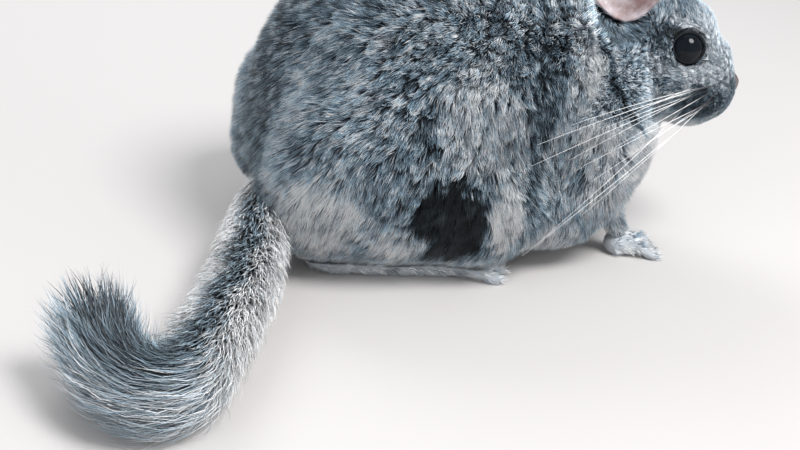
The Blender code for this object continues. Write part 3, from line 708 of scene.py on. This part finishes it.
def planted(surface, count, density, lay, width, per_clump, pull, lean, fleck, centre):
    """Tufts rooted under a surface and lying along it."""
    point, normal = surface.sample(count, density)
    clumps = Clumps(point, per_clump)
    deep = lay.depth(point)
    slim = slimming(point)
    long = lay.length(point) * draw.uniform(0.78, 1.15, count) * clumps.value(0.85, 1.15)
    way = lay.flow(point, normal)
    across = np.cross(normal, way)
    way = unit(way + across * clumps.value(-lean, lean)[:, None] + draw.normal(0, 0.10, way.shape))
    reach = np.sqrt(np.maximum(long ** 2 - deep ** 2, (0.5 * long) ** 2))
    root = point - normal * (deep * 1.02 + slim)[:, None]
    tip = point + way * reach[:, None] + clumps.to_centre * clumps.value(*pull)[:, None]
    rise = clumps.value(*lay.rise) + draw.normal(0, 0.07, count)
    tip = keep_off_eyes(surface.bring(tip, rise * deep - slim))
    tip[:, 2] = np.maximum(tip[:, 2], FLOOR_GAP[0] + FLOOR_GAP[1] * draw.random(count))
    tone = coat_tone(tip)
    speck = (draw.random(count) < 0.14) * (tone > 0.08) * 0.34
    pale = np.clip(tone + clumps.value(-0.3, 0.3) * fleck[0] + speck, 0, 1)
    vary = np.clip(0.52 + clumps.value(-1, 1) * fleck[0] + draw.normal(0, fleck[1], count), 0, 1)
    return Tufts([root, tip], normal, width(point), pale, vary, round_unwrap(root, centre))


def round_unwrap(points, centre):
    """An unwrap of a rounded form: round its long axis, and along it."""
    way = unit(points - np.array(centre))
    turn = np.arctan2(way[:, 0], way[:, 2]) / tau
    along = np.arccos(np.clip(way[:, 1], -1, 1)) / pi
    return np.stack([turn, along], axis=1)


def spread_map(unwrap):
    """The unwrap of one piece, spread over the whole map."""
    low, high = unwrap.min(axis=0), unwrap.max(axis=0)
    return 0.01 + 0.98 * (unwrap - low) / np.maximum(high - low, 1e-6)


def coat_pieces(name, tufts, rows, columns, taper, material):
    """The tufts as a few meshes, divided along their unwrap into equal shares."""
    order = np.argsort(tufts.unwrap[:, 1])
    for i, row in enumerate(np.array_split(order, rows)):
        row = row[np.argsort(tufts.unwrap[row, 0])]
        for j, keep in enumerate(np.array_split(row, columns)):
            rest = [values[keep] for values in tufts[1:-1]]
            share = Tufts([p[keep] for p in tufts.path], *rest, spread_map(tufts.unwrap[keep]))
            mesh = tuft_mesh("%s_%d_%d" % (name, i + 1, j + 1), share, taper)
            piece = mesh_object(mesh, material)


def node_graph(name):
    """A new material, its tree and its shader."""
    material = bpy.data.materials.new(name)
    material.use_nodes = True
    tree = material.node_tree
    return material, tree, tree.nodes["Principled BSDF"]


def attribute(tree, name):
    """The value of a named attribute."""
    node = tree.nodes.new("ShaderNodeAttribute")
    node.attribute_name = name
    return node.outputs["Fac"]


def ramp(tree, value, stops):
    """A colour ramp with the given stops."""
    node = tree.nodes.new("ShaderNodeValToRGB")
    elements = node.color_ramp.elements
    while len(elements) < len(stops):
        elements.new(0.5)
    for element, (position, colour) in zip(elements, stops):
        element.position = position
        element.color = (*colour, 1)
    tree.links.new(value, node.inputs["Fac"])
    return node.outputs["Color"]


def mixed(tree, a, b, factor, blend="MIX"):
    """Two colours mixed."""
    node = tree.nodes.new("ShaderNodeMix")
    node.data_type = "RGBA"
    node.blend_type = blend
    node.clamp_result = True
    if isinstance(factor, float):
        node.inputs[0].default_value = factor
    else:
        tree.links.new(factor, node.inputs[0])
    tree.links.new(a, node.inputs[6])
    tree.links.new(b, node.inputs[7])
    return node.outputs[2]


def noise(tree, scale, detail):
    """Noise through space, in bumps per metre."""
    place = tree.nodes.new("ShaderNodeTexCoord")
    node = tree.nodes.new("ShaderNodeTexNoise")
    node.inputs["Scale"].default_value = scale
    node.inputs["Detail"].default_value = detail
    tree.links.new(place.outputs["Object"], node.inputs["Vector"])
    return node.outputs["Fac"]


def mottled(name, scale, detail, stops, roughness):
    """A material mottled between two colours, its tree and its shader."""
    material, tree, shader = node_graph(name)
    tree.links.new(ramp(tree, noise(tree, scale, detail), stops), shader.inputs["Base Color"])
    shader.inputs["Roughness"].default_value = roughness
    return material, tree, shader


def bump(tree, shader, height, strength, distance):
    """Bump from a height."""
    node = tree.nodes.new("ShaderNodeBump")
    node.inputs["Strength"].default_value = strength
    node.inputs["Distance"].default_value = distance
    tree.links.new(height, node.inputs["Height"])
    tree.links.new(node.outputs["Normal"], shader.inputs["Normal"])


# Colours of the coat: slate underfur, grey band and tips, for dark, grey and white fur.
DARK_FUR = [(0.0, (0.004, 0.005, 0.006)), (0.6, (0.009, 0.012, 0.014)), (1.0, (0.026, 0.034, 0.040))]
GREY_FUR = [
    (0.0, (0.009, 0.012, 0.015)),
    (0.42, (0.042, 0.062, 0.081)),
    (0.76, (0.240, 0.345, 0.435)),
    (1.0, (0.580, 0.775, 0.920)),
]
WHITE_FUR = [(0.0, (0.40, 0.42, 0.445)), (0.5, (0.77, 0.81, 0.85)), (1.0, (0.90, 0.93, 0.96))]
COOL_CHANGE = [(0.0, (0.20, 0.22, 0.24)), (1.0, (1.92, 1.94, 1.96))]
WARM_CHANGE = [(0.0, (0.26, 0.25, 0.245)), (1.0, (1.92, 1.84, 1.78))]


def coat_material(name, roughness, along=True, change_stops=COOL_CHANGE):
    """The coat's bands and markings, or for the skin its markings alone."""
    material, tree, shader = node_graph(name)
    if along:
        place = attribute(tree, "along")
    else:
        value = tree.nodes.new("ShaderNodeValue")
        value.outputs[0].default_value = 0.35
        place = value.outputs[0]
    tone = attribute(tree, "tone")
    dark, grey, white = (ramp(tree, place, stops) for stops in (DARK_FUR, GREY_FUR, WHITE_FUR))
    black, lit = (0, 0, 0), (1, 1, 1)
    lower = ramp(tree, tone, [(0.06, black), (0.52, lit)])
    upper = ramp(tree, tone, [(0.55, black), (0.95, lit)])
    colour = mixed(tree, mixed(tree, dark, grey, lower), white, upper)
    if along:
        change = ramp(tree, attribute(tree, "vary"), change_stops)
        colour = mixed(tree, colour, change, 1.0, "MULTIPLY")
    tree.links.new(colour, shader.inputs["Base Color"])
    shader.inputs["Roughness"].default_value = roughness
    shader.inputs["Specular IOR Level"].default_value = 0.25
    shader.inputs["Sheen Weight"].default_value = 0.10
    shader.inputs["Sheen Roughness"].default_value = 0.5
    return material


# Steps between two points of the tail's route, and rows and sides of its core.
TAIL_STEPS = 10
TAIL_GRID = (60, 14)

# Points along a hair of the tail: how far along it, and how far out from the core.
TAIL_LIFT = ((0, 0.0), (0.33, 0.52), (0.68, 0.84), (1, 1.0))

# Tones of the tail beside and in its stripe, and the same in the brush.
TAIL_TONES = (0.95, 0.38)
BRUSH_TONES = (0.60, 0.17)


class Tail:
    """The tail's centreline as a smooth curve, in the frame of the part."""

    def __init__(self):
        route = [Vector([c * MM for c in place]) + ANIMAL for place in TAIL_ROUTE]
        ends = [2 * route[0] - route[1]] + route + [2 * route[-1] - route[-2]]
        points = []
        for a, b, c, d in zip(ends, ends[1:], ends[2:], ends[3:]):
            bend, twist = 2 * a - 5 * b + 4 * c - d, 3 * b - a - 3 * c + d
            for t in (i / TAIL_STEPS for i in range(TAIL_STEPS)):
                points.append(0.5 * (2 * b + (c - a) * t + bend * t * t + twist * t ** 3))
        points.append(route[-1])
        self.points = np.array(points)
        steps = length(np.diff(self.points, axis=0))
        self.lengths = np.concatenate([[0], np.cumsum(steps)])
        self.length = self.lengths[-1]

    def at(self, t):
        """Points t of the way along, straight on past the end."""
        want = np.clip(t, 0, 1) * self.length
        point = np.stack([np.interp(want, self.lengths, self.points[:, k]) for k in range(3)], axis=1)
        end = unit(self.points[-1] - self.points[-4])
        return point + end * (np.maximum(t - 1, 0) * self.length)[:, None]

    def frame(self, t):
        """Points, and the side and up directions across the tail."""
        heading = unit(self.at(t + 0.01) - self.at(t - 0.01))
        side = unit(np.cross(heading, np.array([0.0, 0, 1])))
        return self.at(t), side, np.cross(side, heading)

    def outward(self, t, angle):
        """Points, and the ways out of the tail at these angles round it."""
        point, side, up = self.frame(t)
        return point, side * np.cos(angle)[:, None] + up * np.sin(angle)[:, None]


def tail_skin(tail):
    """The tail's core as a tube."""
    rows, sides = TAIL_GRID
    t = np.linspace(0, 1, rows)
    bm = bmesh.new()
    rings = []
    for row in zip(*tail.frame(t), mix(*TAIL_CORE, t)):
        rings.append([bm.verts.new(point) for point in ring_points(*row, sides)])
    join_rings(bm, zip(rings, rings[1:]))
    bm.faces.new(reversed(rings[0]))
    bm.faces.new(rings[-1])
    bmesh.ops.recalc_face_normals(bm, faces=bm.faces)
    return bm


def tail_tone(t, angle):
    """The tail's tones: a grey stripe on top, silver beside it, and a dark brush."""
    off = np.abs((angle - radians(84) + pi) % tau - pi)
    stripe = fade(off + 0.12 * np.sin(t * 40 + angle * 3), radians(12), radians(34))
    tone = mix(*TAIL_TONES, stripe * mix(0.7, 1.0, ease(t, 0.05, 0.3)))
    brush = mix(*BRUSH_TONES, fade(off, radians(20), radians(70)))
    return mix(tone, brush, ease(t, 0.60, 0.82))


def make_tail_coat(tail, material):
    """Hair that lies along the tail and fans into the brush."""
    count = TAIL_TUFTS
    t = draw.random(count) ** 0.85 * 1.02 - 0.02
    angle = draw.uniform(0, tau, count)
    core, coat = mix(*TAIL_CORE, t), mix(*TAIL_COAT, ease(t, 0.0, 0.5))
    long = mix(*TAIL_HAIR, ease(t, 0.1, 0.9)) * draw.uniform(0.75, 1.15, count)
    rise = coat * draw.uniform(0.72, 1.02, count) * mix(0.82, 1.0, ease(t, 0, 0.25))
    loose = (draw.random(count) < 0.22 * ease(t, 0.5, 0.8)) * draw.uniform(0.05, 0.28, count)
    rise = rise * (1 + loose)
    swing = draw.normal(0, mix(0.12, 0.24, ease(t, 0.5, 0.9)), count)
    path = []
    for u, lift in TAIL_LIFT:
        point, out = tail.outward(t + u * long / tail.length, angle + swing * u)
        place = point + out * mix(core * 0.9, rise, lift)[:, None]
        gap = TAIL_FLOOR_GAP[0] + TAIL_FLOOR_GAP[1] * draw.random(count)
        place[:, 2] = np.maximum(place[:, 2], gap)
        path.append(place)
    normal = tail.outward(t, angle)[1]
    tone = np.clip(tail_tone(t, angle) + draw.normal(0, 0.15, count), 0, 1)
    vary = np.clip(draw.normal(0.62, 0.32, count), 0, 1)
    width = TAIL_TUFT * draw.uniform(0.6, 1.2, count) * (1 - 0.45 * (loose > 0))
    unwrap = np.stack([angle / tau, t], axis=1)
    tufts = Tufts(path, normal, width, tone, vary, unwrap)
    coat_pieces("coat_tail", tufts, 2, 1, (0.8, 1.0, 0.6), material)


def mirrored(place, sign):
    """A place of the head's left side, on the side that sign gives."""
    return Vector((sign * place.x, place.y, place.z))


def ear_matrix(sign):
    """The ear's frame: x across it, y out of its cup, z from its foot to its tip."""
    lean = Matrix.Rotation(radians(-EAR_BACK), 4, "X")
    splay = Matrix.Rotation(radians(sign * EAR_OUT), 4, "Y")
    face = Matrix.Rotation(radians(sign * (-90 + EAR_TURN)), 4, "Z")
    return HEAD @ Matrix.Translation(mirrored(EAR_FOOT, sign)) @ lean @ splay @ face


def ear_point(across, height):
    """A point of the cup: across from 0 at the front rim to 1 at the rear, height from 0 to 1."""
    turn = pi * across
    ring = np.sqrt(np.maximum(0, 1 - (2 * height - 1) ** 2))
    taper = 0.60 + 0.40 * np.sin(np.minimum(1, height * 1.5) * pi / 2)
    x = ring * np.cos(turn) * EAR_WIDTH / 2 * taper
    y = -ring * np.sin(turn) * EAR_CUP * (1.25 - 0.5 * height)
    y = y - 0.10 * EAR_LENGTH * height ** 2
    return np.stack([x, y, height * EAR_LENGTH], axis=-1)


def ear_skin_material():
    """Thin bare skin, pinkish white with brown-pink patches and fine folds."""
    material, tree, shader = node_graph("ear_skin")
    tint = ramp(tree, noise(tree, 120, 6), [(0.36, (0.30, 0.20, 0.19)), (0.60, (0.62, 0.56, 0.59))])
    fine = ramp(tree, noise(tree, 900, 3), [(0.35, (0.82, 0.80, 0.80)), (0.65, (1.0, 1.0, 1.0))])
    tree.links.new(mixed(tree, tint, fine, 1.0, "MULTIPLY"), shader.inputs["Base Color"])
    shader.inputs["Roughness"].default_value = 0.55
    shader.inputs["Subsurface Weight"].default_value = 0.15
    shader.inputs["Subsurface Radius"].default_value = (0.004, 0.0015, 0.001)
    shader.inputs["Subsurface Scale"].default_value = 1.0
    bump(tree, shader, noise(tree, 500, 5), 0.35, 0.0004)
    return material


def make_ear(side, sign, skin, coat):
    """A thin ridged cup, and its hair."""
    rows, columns = EAR_GRID
    across, height = np.meshgrid(np.linspace(0, 1, columns), np.linspace(0, 1, rows))
    points = ear_point(across, height)
    points[..., 1] += EAR_RIDGE * np.sin(across * EAR_RIDGES) * np.sin(pi * height) ** 2
    place = np.array(ear_matrix(sign))
    turn, shift = place[:3, :3].T, place[:3, 3]
    bm = bmesh.new()
    verts = [bm.verts.new(point) for point in points.reshape(-1, 3) @ turn + shift]
    for i in range(rows - 1):
        for a in range(i * columns, (i + 1) * columns - 1):
            bm.faces.new((verts[a], verts[a + 1], verts[a + columns + 1], verts[a + columns]))
    bmesh.ops.remove_doubles(bm, verts=bm.verts, dist=0.02 * MM)
    bmesh.ops.recalc_face_normals(bm, faces=bm.faces)
    ear = mesh_object(mesh_from(bm, "ear_" + side + "_cup"), skin)
    wall = ear.modifiers.new("wall", "SOLIDIFY")
    wall.thickness = EAR_WALL
    wall.offset = 0
    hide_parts("ear_" + side)
    hair = ear_hair(EAR_TUFTS)
    path = [points @ turn + shift for points in hair.path]
    hair = hair._replace(path=path, normals=hair.normals @ turn)
    coat_pieces("coat_ear_" + side, hair, 1, 1, (1.0, 0.7), coat)


def ear_hair(count):
    """Short hair on the back and the rim of the cup, in the ear's frame."""
    a, h = draw.random(count), draw.beta(1.3, 1.0, count) * 0.97 + 0.015
    rim = draw.random(count) < EAR_RIM_SHARE
    which, front, rear = (draw.random(rim.sum()) for _ in range(3))
    a[rim] = np.where(which < 0.5, front * 0.05, 1 - rear * 0.05)
    base = ear_point(a, h)
    ahead = ear_point(a, np.minimum(h + 0.02, 0.999))
    out = unit(base - ear_point(np.full(count, 0.5), h) - np.array([0, 1.0, 0]) * 0.4 * EAR_CUP)
    out = np.where(rim[:, None], out, unit(out + np.array([0, -1.0, 0])))
    root = base + out * 0.2 * MM
    long = np.where(rim, *EAR_HAIR) * MM * draw.uniform(0.6, 1.2, count)
    lie = unit(ahead - base) * 0.8 + out * np.where(rim, 0.8, 0.25)[:, None]
    lie = unit(lie + draw.normal(0, 0.12, base.shape))
    path = [root, root + lie * (long * 0.5)[:, None], root + lie * long[:, None]]
    tone = np.clip(np.where(rim, *EAR_TONES) + draw.normal(0, 0.08, count), 0, 1)
    width = np.full(count, EAR_TUFT)
    return Tufts(path, out, width, tone, draw.random(count), np.stack([a, h], axis=1))


def eye_material():
    """A wet globe, black, with a trace of blue that is painted reflection of the sky."""
    stops = [(0.3, (0.002, 0.003, 0.005)), (0.8, (0.005, 0.008, 0.012))]
    material, _, shader = mottled("eye_black", 260, 2, stops, 0.03)
    shader.inputs["IOR"].default_value = 1.34
    shader.inputs["Specular IOR Level"].default_value = 0.35
    return material


def lid_material():
    """Dark bare rims of the lids."""
    stops = [(0.3, (0.006, 0.007, 0.008)), (0.7, (0.018, 0.020, 0.023))]
    material, tree, shader = mottled("lid_skin", 700, 3, stops, 0.7)
    shader.inputs["Specular IOR Level"].default_value = 0.12
    bump(tree, shader, noise(tree, 1500, 3), 0.3, 0.0002)
    return material


def make_eye(side, sign, globe, rim):
    """A smooth globe, and the lids round it."""
    matrix = eye_matrix(sign)
    bm = bmesh.new()
    bmesh.ops.create_uvsphere(bm, u_segments=48, v_segments=32, radius=EYE_RADIUS)
    bm.transform(matrix)
    eye = mesh_object(mesh_from(bm, "eyeball_" + side), globe)
    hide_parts("eye_" + side)
    bm = bmesh.new()
    rows, sides = LID_GRID
    rings = []
    for i in range(rows):
        turn = tau * i / rows
        corner = abs(cos(turn)) ** 6
        thick = LID_THICKNESS * (1 + 0.3 * sin(turn)) * (1 - 0.25 * corner)
        radius = LID_RADIUS + 0.4 * MM * corner
        centre = Vector((radius * cos(turn), -LID_OUT - 0.35 * MM * sin(turn), radius * sin(turn)))
        out = Vector((cos(turn), 0, sin(turn)))
        points = ring_points(centre, out, Vector((0, -1, 0)), thick, sides)
        rings.append([bm.verts.new(matrix @ point) for point in points])
    join_rings(bm, zip(rings, rings[1:] + rings[:1]))
    bmesh.ops.recalc_face_normals(bm, faces=bm.faces)
    lids = mesh_object(mesh_from(bm, "eyelids_" + side), rim)


# Whiskers of the left side, in the head's frame: the middle of their roots, the end of the longest, how
# far both scatter, how the left ones are pressed to the body, and the radii at root and tip.
WHISKERS = 14
WHISKER_ROOT = Vector((10.5, -17, -13.5)) * MM
WHISKER_END = Vector((78, 44, -50)) * MM
ROOT_SCATTER = Vector((1.5, 3.5, 3.5)) * MM
END_SCATTER = Vector((6, 10, 13)) * MM
PRESSED = 0.68
WHISKER_BOW = Vector((6, -2, 5)) * MM
WHISKER_RADII = (0.17 * MM, 0.04 * MM)
WHISKER_GRID = (17, 4)


def make_whiskers(side, sign, material):
    """Long thin bristles that sweep back and down from the whisker pad."""
    rows, sides = WHISKER_GRID
    bm = bmesh.new()
    layer = bm.verts.layers.float.new("along")
    for i in range(WHISKERS):
        rank = 2 * i / (WHISKERS - 1) - 1
        start = WHISKER_ROOT + Vector((draw.uniform(-1, 1) * c for c in ROOT_SCATTER))
        end = WHISKER_END + Vector((draw.uniform(-1, 1) * c for c in END_SCATTER))
        start.z += rank * ROOT_SCATTER.z * 0.5
        end.z += rank * END_SCATTER.z
        share = 1 - 0.5 * draw.random() ** 1.6
        end = start + (end - start) * share
        if side == "left":
            end.x *= PRESSED
        way = end - start
        bow = WHISKER_BOW * share
        ahead = (HEAD.to_3x3() @ mirrored(way, sign)).normalized()
        across = ahead.cross(Vector((0, 0, 1))).normalized()
        up = across.cross(ahead)
        rings = []
        for j in range(rows):
            t = j / (rows - 1)
            point = HEAD @ mirrored(start + way * t + bow * (4 * t * (1 - t)), sign)
            points = ring_points(point, across, up, mix(*WHISKER_RADII, t), sides)
            rings.append([bm.verts.new(point) for point in points])
            for vert in rings[-1]:
                vert[layer] = t
        join_rings(bm, zip(rings, rings[1:]))
    bmesh.ops.recalc_face_normals(bm, faces=bm.faces)
    piece = mesh_object(mesh_from(bm, "whiskers_" + side), material)


def whisker_material():
    """Dark at the root, then white."""
    material, tree, shader = node_graph("whisker")
    stops = [(0.0, (0.015, 0.015, 0.018)), (0.2, (0.08, 0.08, 0.09)), (0.36, (0.86, 0.86, 0.86))]
    tree.links.new(ramp(tree, attribute(tree, "along"), stops), shader.inputs["Base Color"])
    shader.inputs["Roughness"].default_value = 0.35
    return material


def nose_material():
    """Dark damp nose skin."""
    stops = [(0.3, (0.060, 0.050, 0.055)), (0.7, (0.150, 0.120, 0.125))]
    material, tree, shader = mottled("nose_skin", 900, 3, stops, 0.38)
    bump(tree, shader, noise(tree, 2200, 2), 0.5, 0.0002)
    return material


def head_density(points):
    """Dense on the face, thinner towards the body, and none on nose and eyes."""
    face = 1 + 1.8 * fade(to_head(points)[:, 1], -14, 8)
    bare = (nose_distance(points) > COAT_FROM_NOSE) * (eye_distance(points) > COAT_FROM_EYE)
    return ease(head_share(points), 0.02, 0.5) * face * (bare * outside_ears(points))


def body_density(points):
    """Dense everywhere but on the head and under the belly."""
    low = to_animal(points)[:, 2]
    body = fade(head_share(points), 0.5, 0.98)
    return body * mix(0.45, 1.0, ease(low, 4, 14)) * outside_ears(points)


def paw_density(points):
    """Dense on the feet, and none under them."""
    return ease(to_animal(points)[:, 2], 0.8, 3.0)


def outside_ears(points):
    """0 in the hollow at the foot of either ear, 1 elsewhere."""
    outside = np.ones(len(points))
    for sign in (1, -1):
        outside *= reach_of(in_frame(points, ear_matrix(sign)), *EAR_HOLLOW) > 1
    return outside


# How much deeper the body's skin lies under the head's. The skin of the tail and the feet: its limit in
# the animal's millimetres, and its tone.
UNDER_HEAD = 1.2 * MM
TAIL_SKIN = (76, 0.3)
FEET_SKIN = (8, 0.75)


def make_skin(body, head, paws, tail, material, nose, lid):
    """One skin under the whole coat."""
    bm = bmesh.new()
    for mesh, sunk in ((body, UNDER_HEAD), (head, 0), (paws, None)):
        points = vertex_array(mesh)
        inset = mesh.copy()
        if sunk is not None:
            deep = coat_depth(points) + slimming(points)
            deep = deep + sunk * ease(head_share(points), 0.1, 0.6)
            points = points - vertex_array(mesh, "normal") * deep[:, None]
            inset.vertices.foreach_set("co", points.reshape(-1))
        bm.from_mesh(inset)
        bpy.data.meshes.remove(inset)
    bm.from_mesh(mesh_from(tail_skin(tail), "tail_core"))
    mesh = mesh_from(bm, "skin")
    points = vertex_array(mesh)
    place = to_animal(points)
    tone = np.where(place[:, 2] < FEET_SKIN[0], FEET_SKIN[1], coat_tone(points))
    set_values(mesh, "tone", np.where(place[:, 1] > TAIL_SKIN[0], TAIL_SKIN[1], tone))
    skin = mesh_object(mesh, material)
    mesh.materials.append(nose)
    mesh.materials.append(lid)
    bare = np.where(eye_distance(points) < LID_SKIN_TO, 2, 0)
    bare = np.where(nose_distance(points) < NOSE_SKIN_TO, 1, bare)
    for polygon in mesh.polygons:
        polygon.material_index = min(bare[v] for v in polygon.vertices)
    flesh = sorted(set(BODY_NODES + PAW_NODES + TAIL_NODES))
    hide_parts(*flesh)


def paw_flow(points, normals):
    """Hair on the feet lies forward to the toes."""
    way = np.tile(np.array([0.0, -1.0, -0.15]), (len(points), 1))
    return laid(way, normals)


# A coat's habit: tufts in a clump, how far they are drawn to its middle, how far it leans aside, and
# how clumps and tufts differ in shade. Then the rows and columns of the coat's pieces.
BODY_COAT = (44, (0.10, 0.60), 0.20, (0.32, 0.26)), (3, 2)
HEAD_COAT = (16, (0.1, 0.5), 0.20, (0.16, 0.18)), (1, 2)
PAW_COAT = (20, (0.1, 0.6), 0.35, (0.42, 0.3)), (1, 1)


def make_coat(body, head, paws, material):
    """The tufts over the body, head and feet."""
    def uneven(size):
        return lambda points: size * draw.uniform(0.6, 1.25, len(points))

    def face_tuft(points):
        size = mix(FACE_TUFT, BODY_TUFT, ease(to_head(points)[:, 1], -14, 34))
        return uneven(size)(points)

    def even(value):
        return lambda points: np.full(len(points), value)

    def dress(name, mesh, count, density, lay, width, centre, habit):
        tufts = planted(Surface(mesh), count, density, lay, width, *habit[0], centre)
        coat_pieces(name, tufts, *habit[1], (1.0,), material)

    plush = Lay(coat_depth, hair_length, coat_flow, (-0.14, 0.05))
    short = Lay(even(PAW_DEPTH), even(PAW_HAIR), paw_flow, (0.1, 2.2))
    middles = (ANIMAL + Vector((0, 0.005, 0.055)), HEAD @ Vector((0, 0.012, -0.006)),
               ANIMAL + Vector((0, 0, 0.02)))
    dress("coat_body", body, BODY_TUFTS, body_density, plush, uneven(BODY_TUFT), middles[0], BODY_COAT)
    dress("coat_head", head, HEAD_TUFTS, head_density, plush, face_tuft, middles[1], HEAD_COAT)
    dress("coat_feet", paws, PAW_TUFTS, paw_density, short, uneven(PAW_TUFT), middles[2], PAW_COAT)


# Lights: place over the animal, size, power and colour. Only the key shows in wet and glossy skin.
LIGHTS = {
    "key": ((-0.50, -0.30, 0.95), 0.5, 13, (1.0, 0.99, 0.98)),
    "fill": ((-0.7, 0.75, 0.5), 0.9, 4, (0.98, 0.99, 1.0)),
    "front": ((-0.5, -0.75, 0.28), 0.6, 2.2, (1.0, 1.0, 1.0)),
    "back": ((0.7, 0.2, 0.7), 0.6, 5, (0.98, 0.99, 1.0)),
}
LIT_POINT = Vector((0, 0.01, 0.05))
FLOOR_COLOUR = (0.52, 0.505, 0.50, 1)
SKY_COLOUR = (0.95, 0.97, 1.0, 1)
SKY_STRENGTH = 0.55


def area_light(name, place, size, power, colour):
    """A soft studio light aimed at the animal."""
    light = bpy.data.lights.new(name, "AREA")
    light.shape = "DISK"
    light.size = size
    light.energy = power
    light.color = colour
    obj = linked(name, light)
    obj.location = ANIMAL + Vector(place)
    obj.rotation_mode = "QUATERNION"
    obj.rotation_quaternion = (ANIMAL + LIT_POINT - obj.location).to_track_quat("-Z", "Y")
    obj.visible_glossy = name == "key"


def make_studio():
    """Pale floor and soft light."""
    bm = bmesh.new()
    bmesh.ops.create_grid(bm, x_segments=1, y_segments=1, size=3)
    mesh = mesh_from(bm, "floor")
    floor = linked("floor", mesh)
    material, _, shader = node_graph("floor")
    shader.inputs["Base Color"].default_value = FLOOR_COLOUR
    shader.inputs["Roughness"].default_value = 0.8
    mesh.materials.append(material)
    for name, values in LIGHTS.items():
        area_light(name, *values)
    world = bpy.data.worlds.new("studio")
    bpy.context.scene.world = world
    bpy.context.scene.view_settings.view_transform = "Standard"
    world.use_nodes = True
    sky = world.node_tree.nodes["Background"]
    sky.inputs["Color"].default_value = SKY_COLOUR
    sky.inputs["Strength"].default_value = SKY_STRENGTH


def make_camera():
    """The photograph's view: from the animal's right, a little behind and above."""
    turn, rise, roll = (radians(a) for a in CAMERA_ANGLES)
    back = Vector((sin(turn) * cos(rise), -cos(turn) * cos(rise), sin(rise)))
    right = Vector((cos(turn), sin(turn), 0))
    up = back.cross(right)
    across, over = cos(roll), sin(roll)
    right, up = right * across + up * over, up * across - right * over
    data = bpy.data.cameras.new("camera")
    data.angle = radians(CAMERA_WIDTH)
    data.clip_start = 0.01
    camera = linked("camera", data)
    place = Matrix.Translation(ANIMAL + CAMERA_TARGET + back * CAMERA_DISTANCE)
    camera.matrix_world = place @ Matrix((right, up, back)).transposed().to_4x4()
    bpy.context.scene.camera = camera


def main():
    """Everything, in order."""
    make_camera()
    make_studio()
    body = fused_nodes(BODY_NODES, 1.5 * MM, 10)
    head = fused_nodes(BODY_NODES, 0.65 * MM, 12, lambda points: head_share(points) > 0.02)
    paws = fused_nodes(PAW_NODES, 0.5 * MM, 3)
    tail = Tail()
    coat = coat_material("coat", 0.62)
    skin = coat_material("skin", 0.8, along=False)
    rim = lid_material()
    make_skin(body, head, paws, tail, skin, nose_material(), rim)
    make_coat(body, head, paws, coat)
    make_tail_coat(tail, coat_material("coat_tail", 0.62, change_stops=WARM_CHANGE))
    ear_skin, globe, bristle = ear_skin_material(), eye_material(), whisker_material()
    for side, sign in (("left", 1), ("right", -1)):
        make_ear(side, sign, ear_skin, coat)
        make_eye(side, sign, globe, rim)
        make_whiskers(side, sign, bristle)


main()
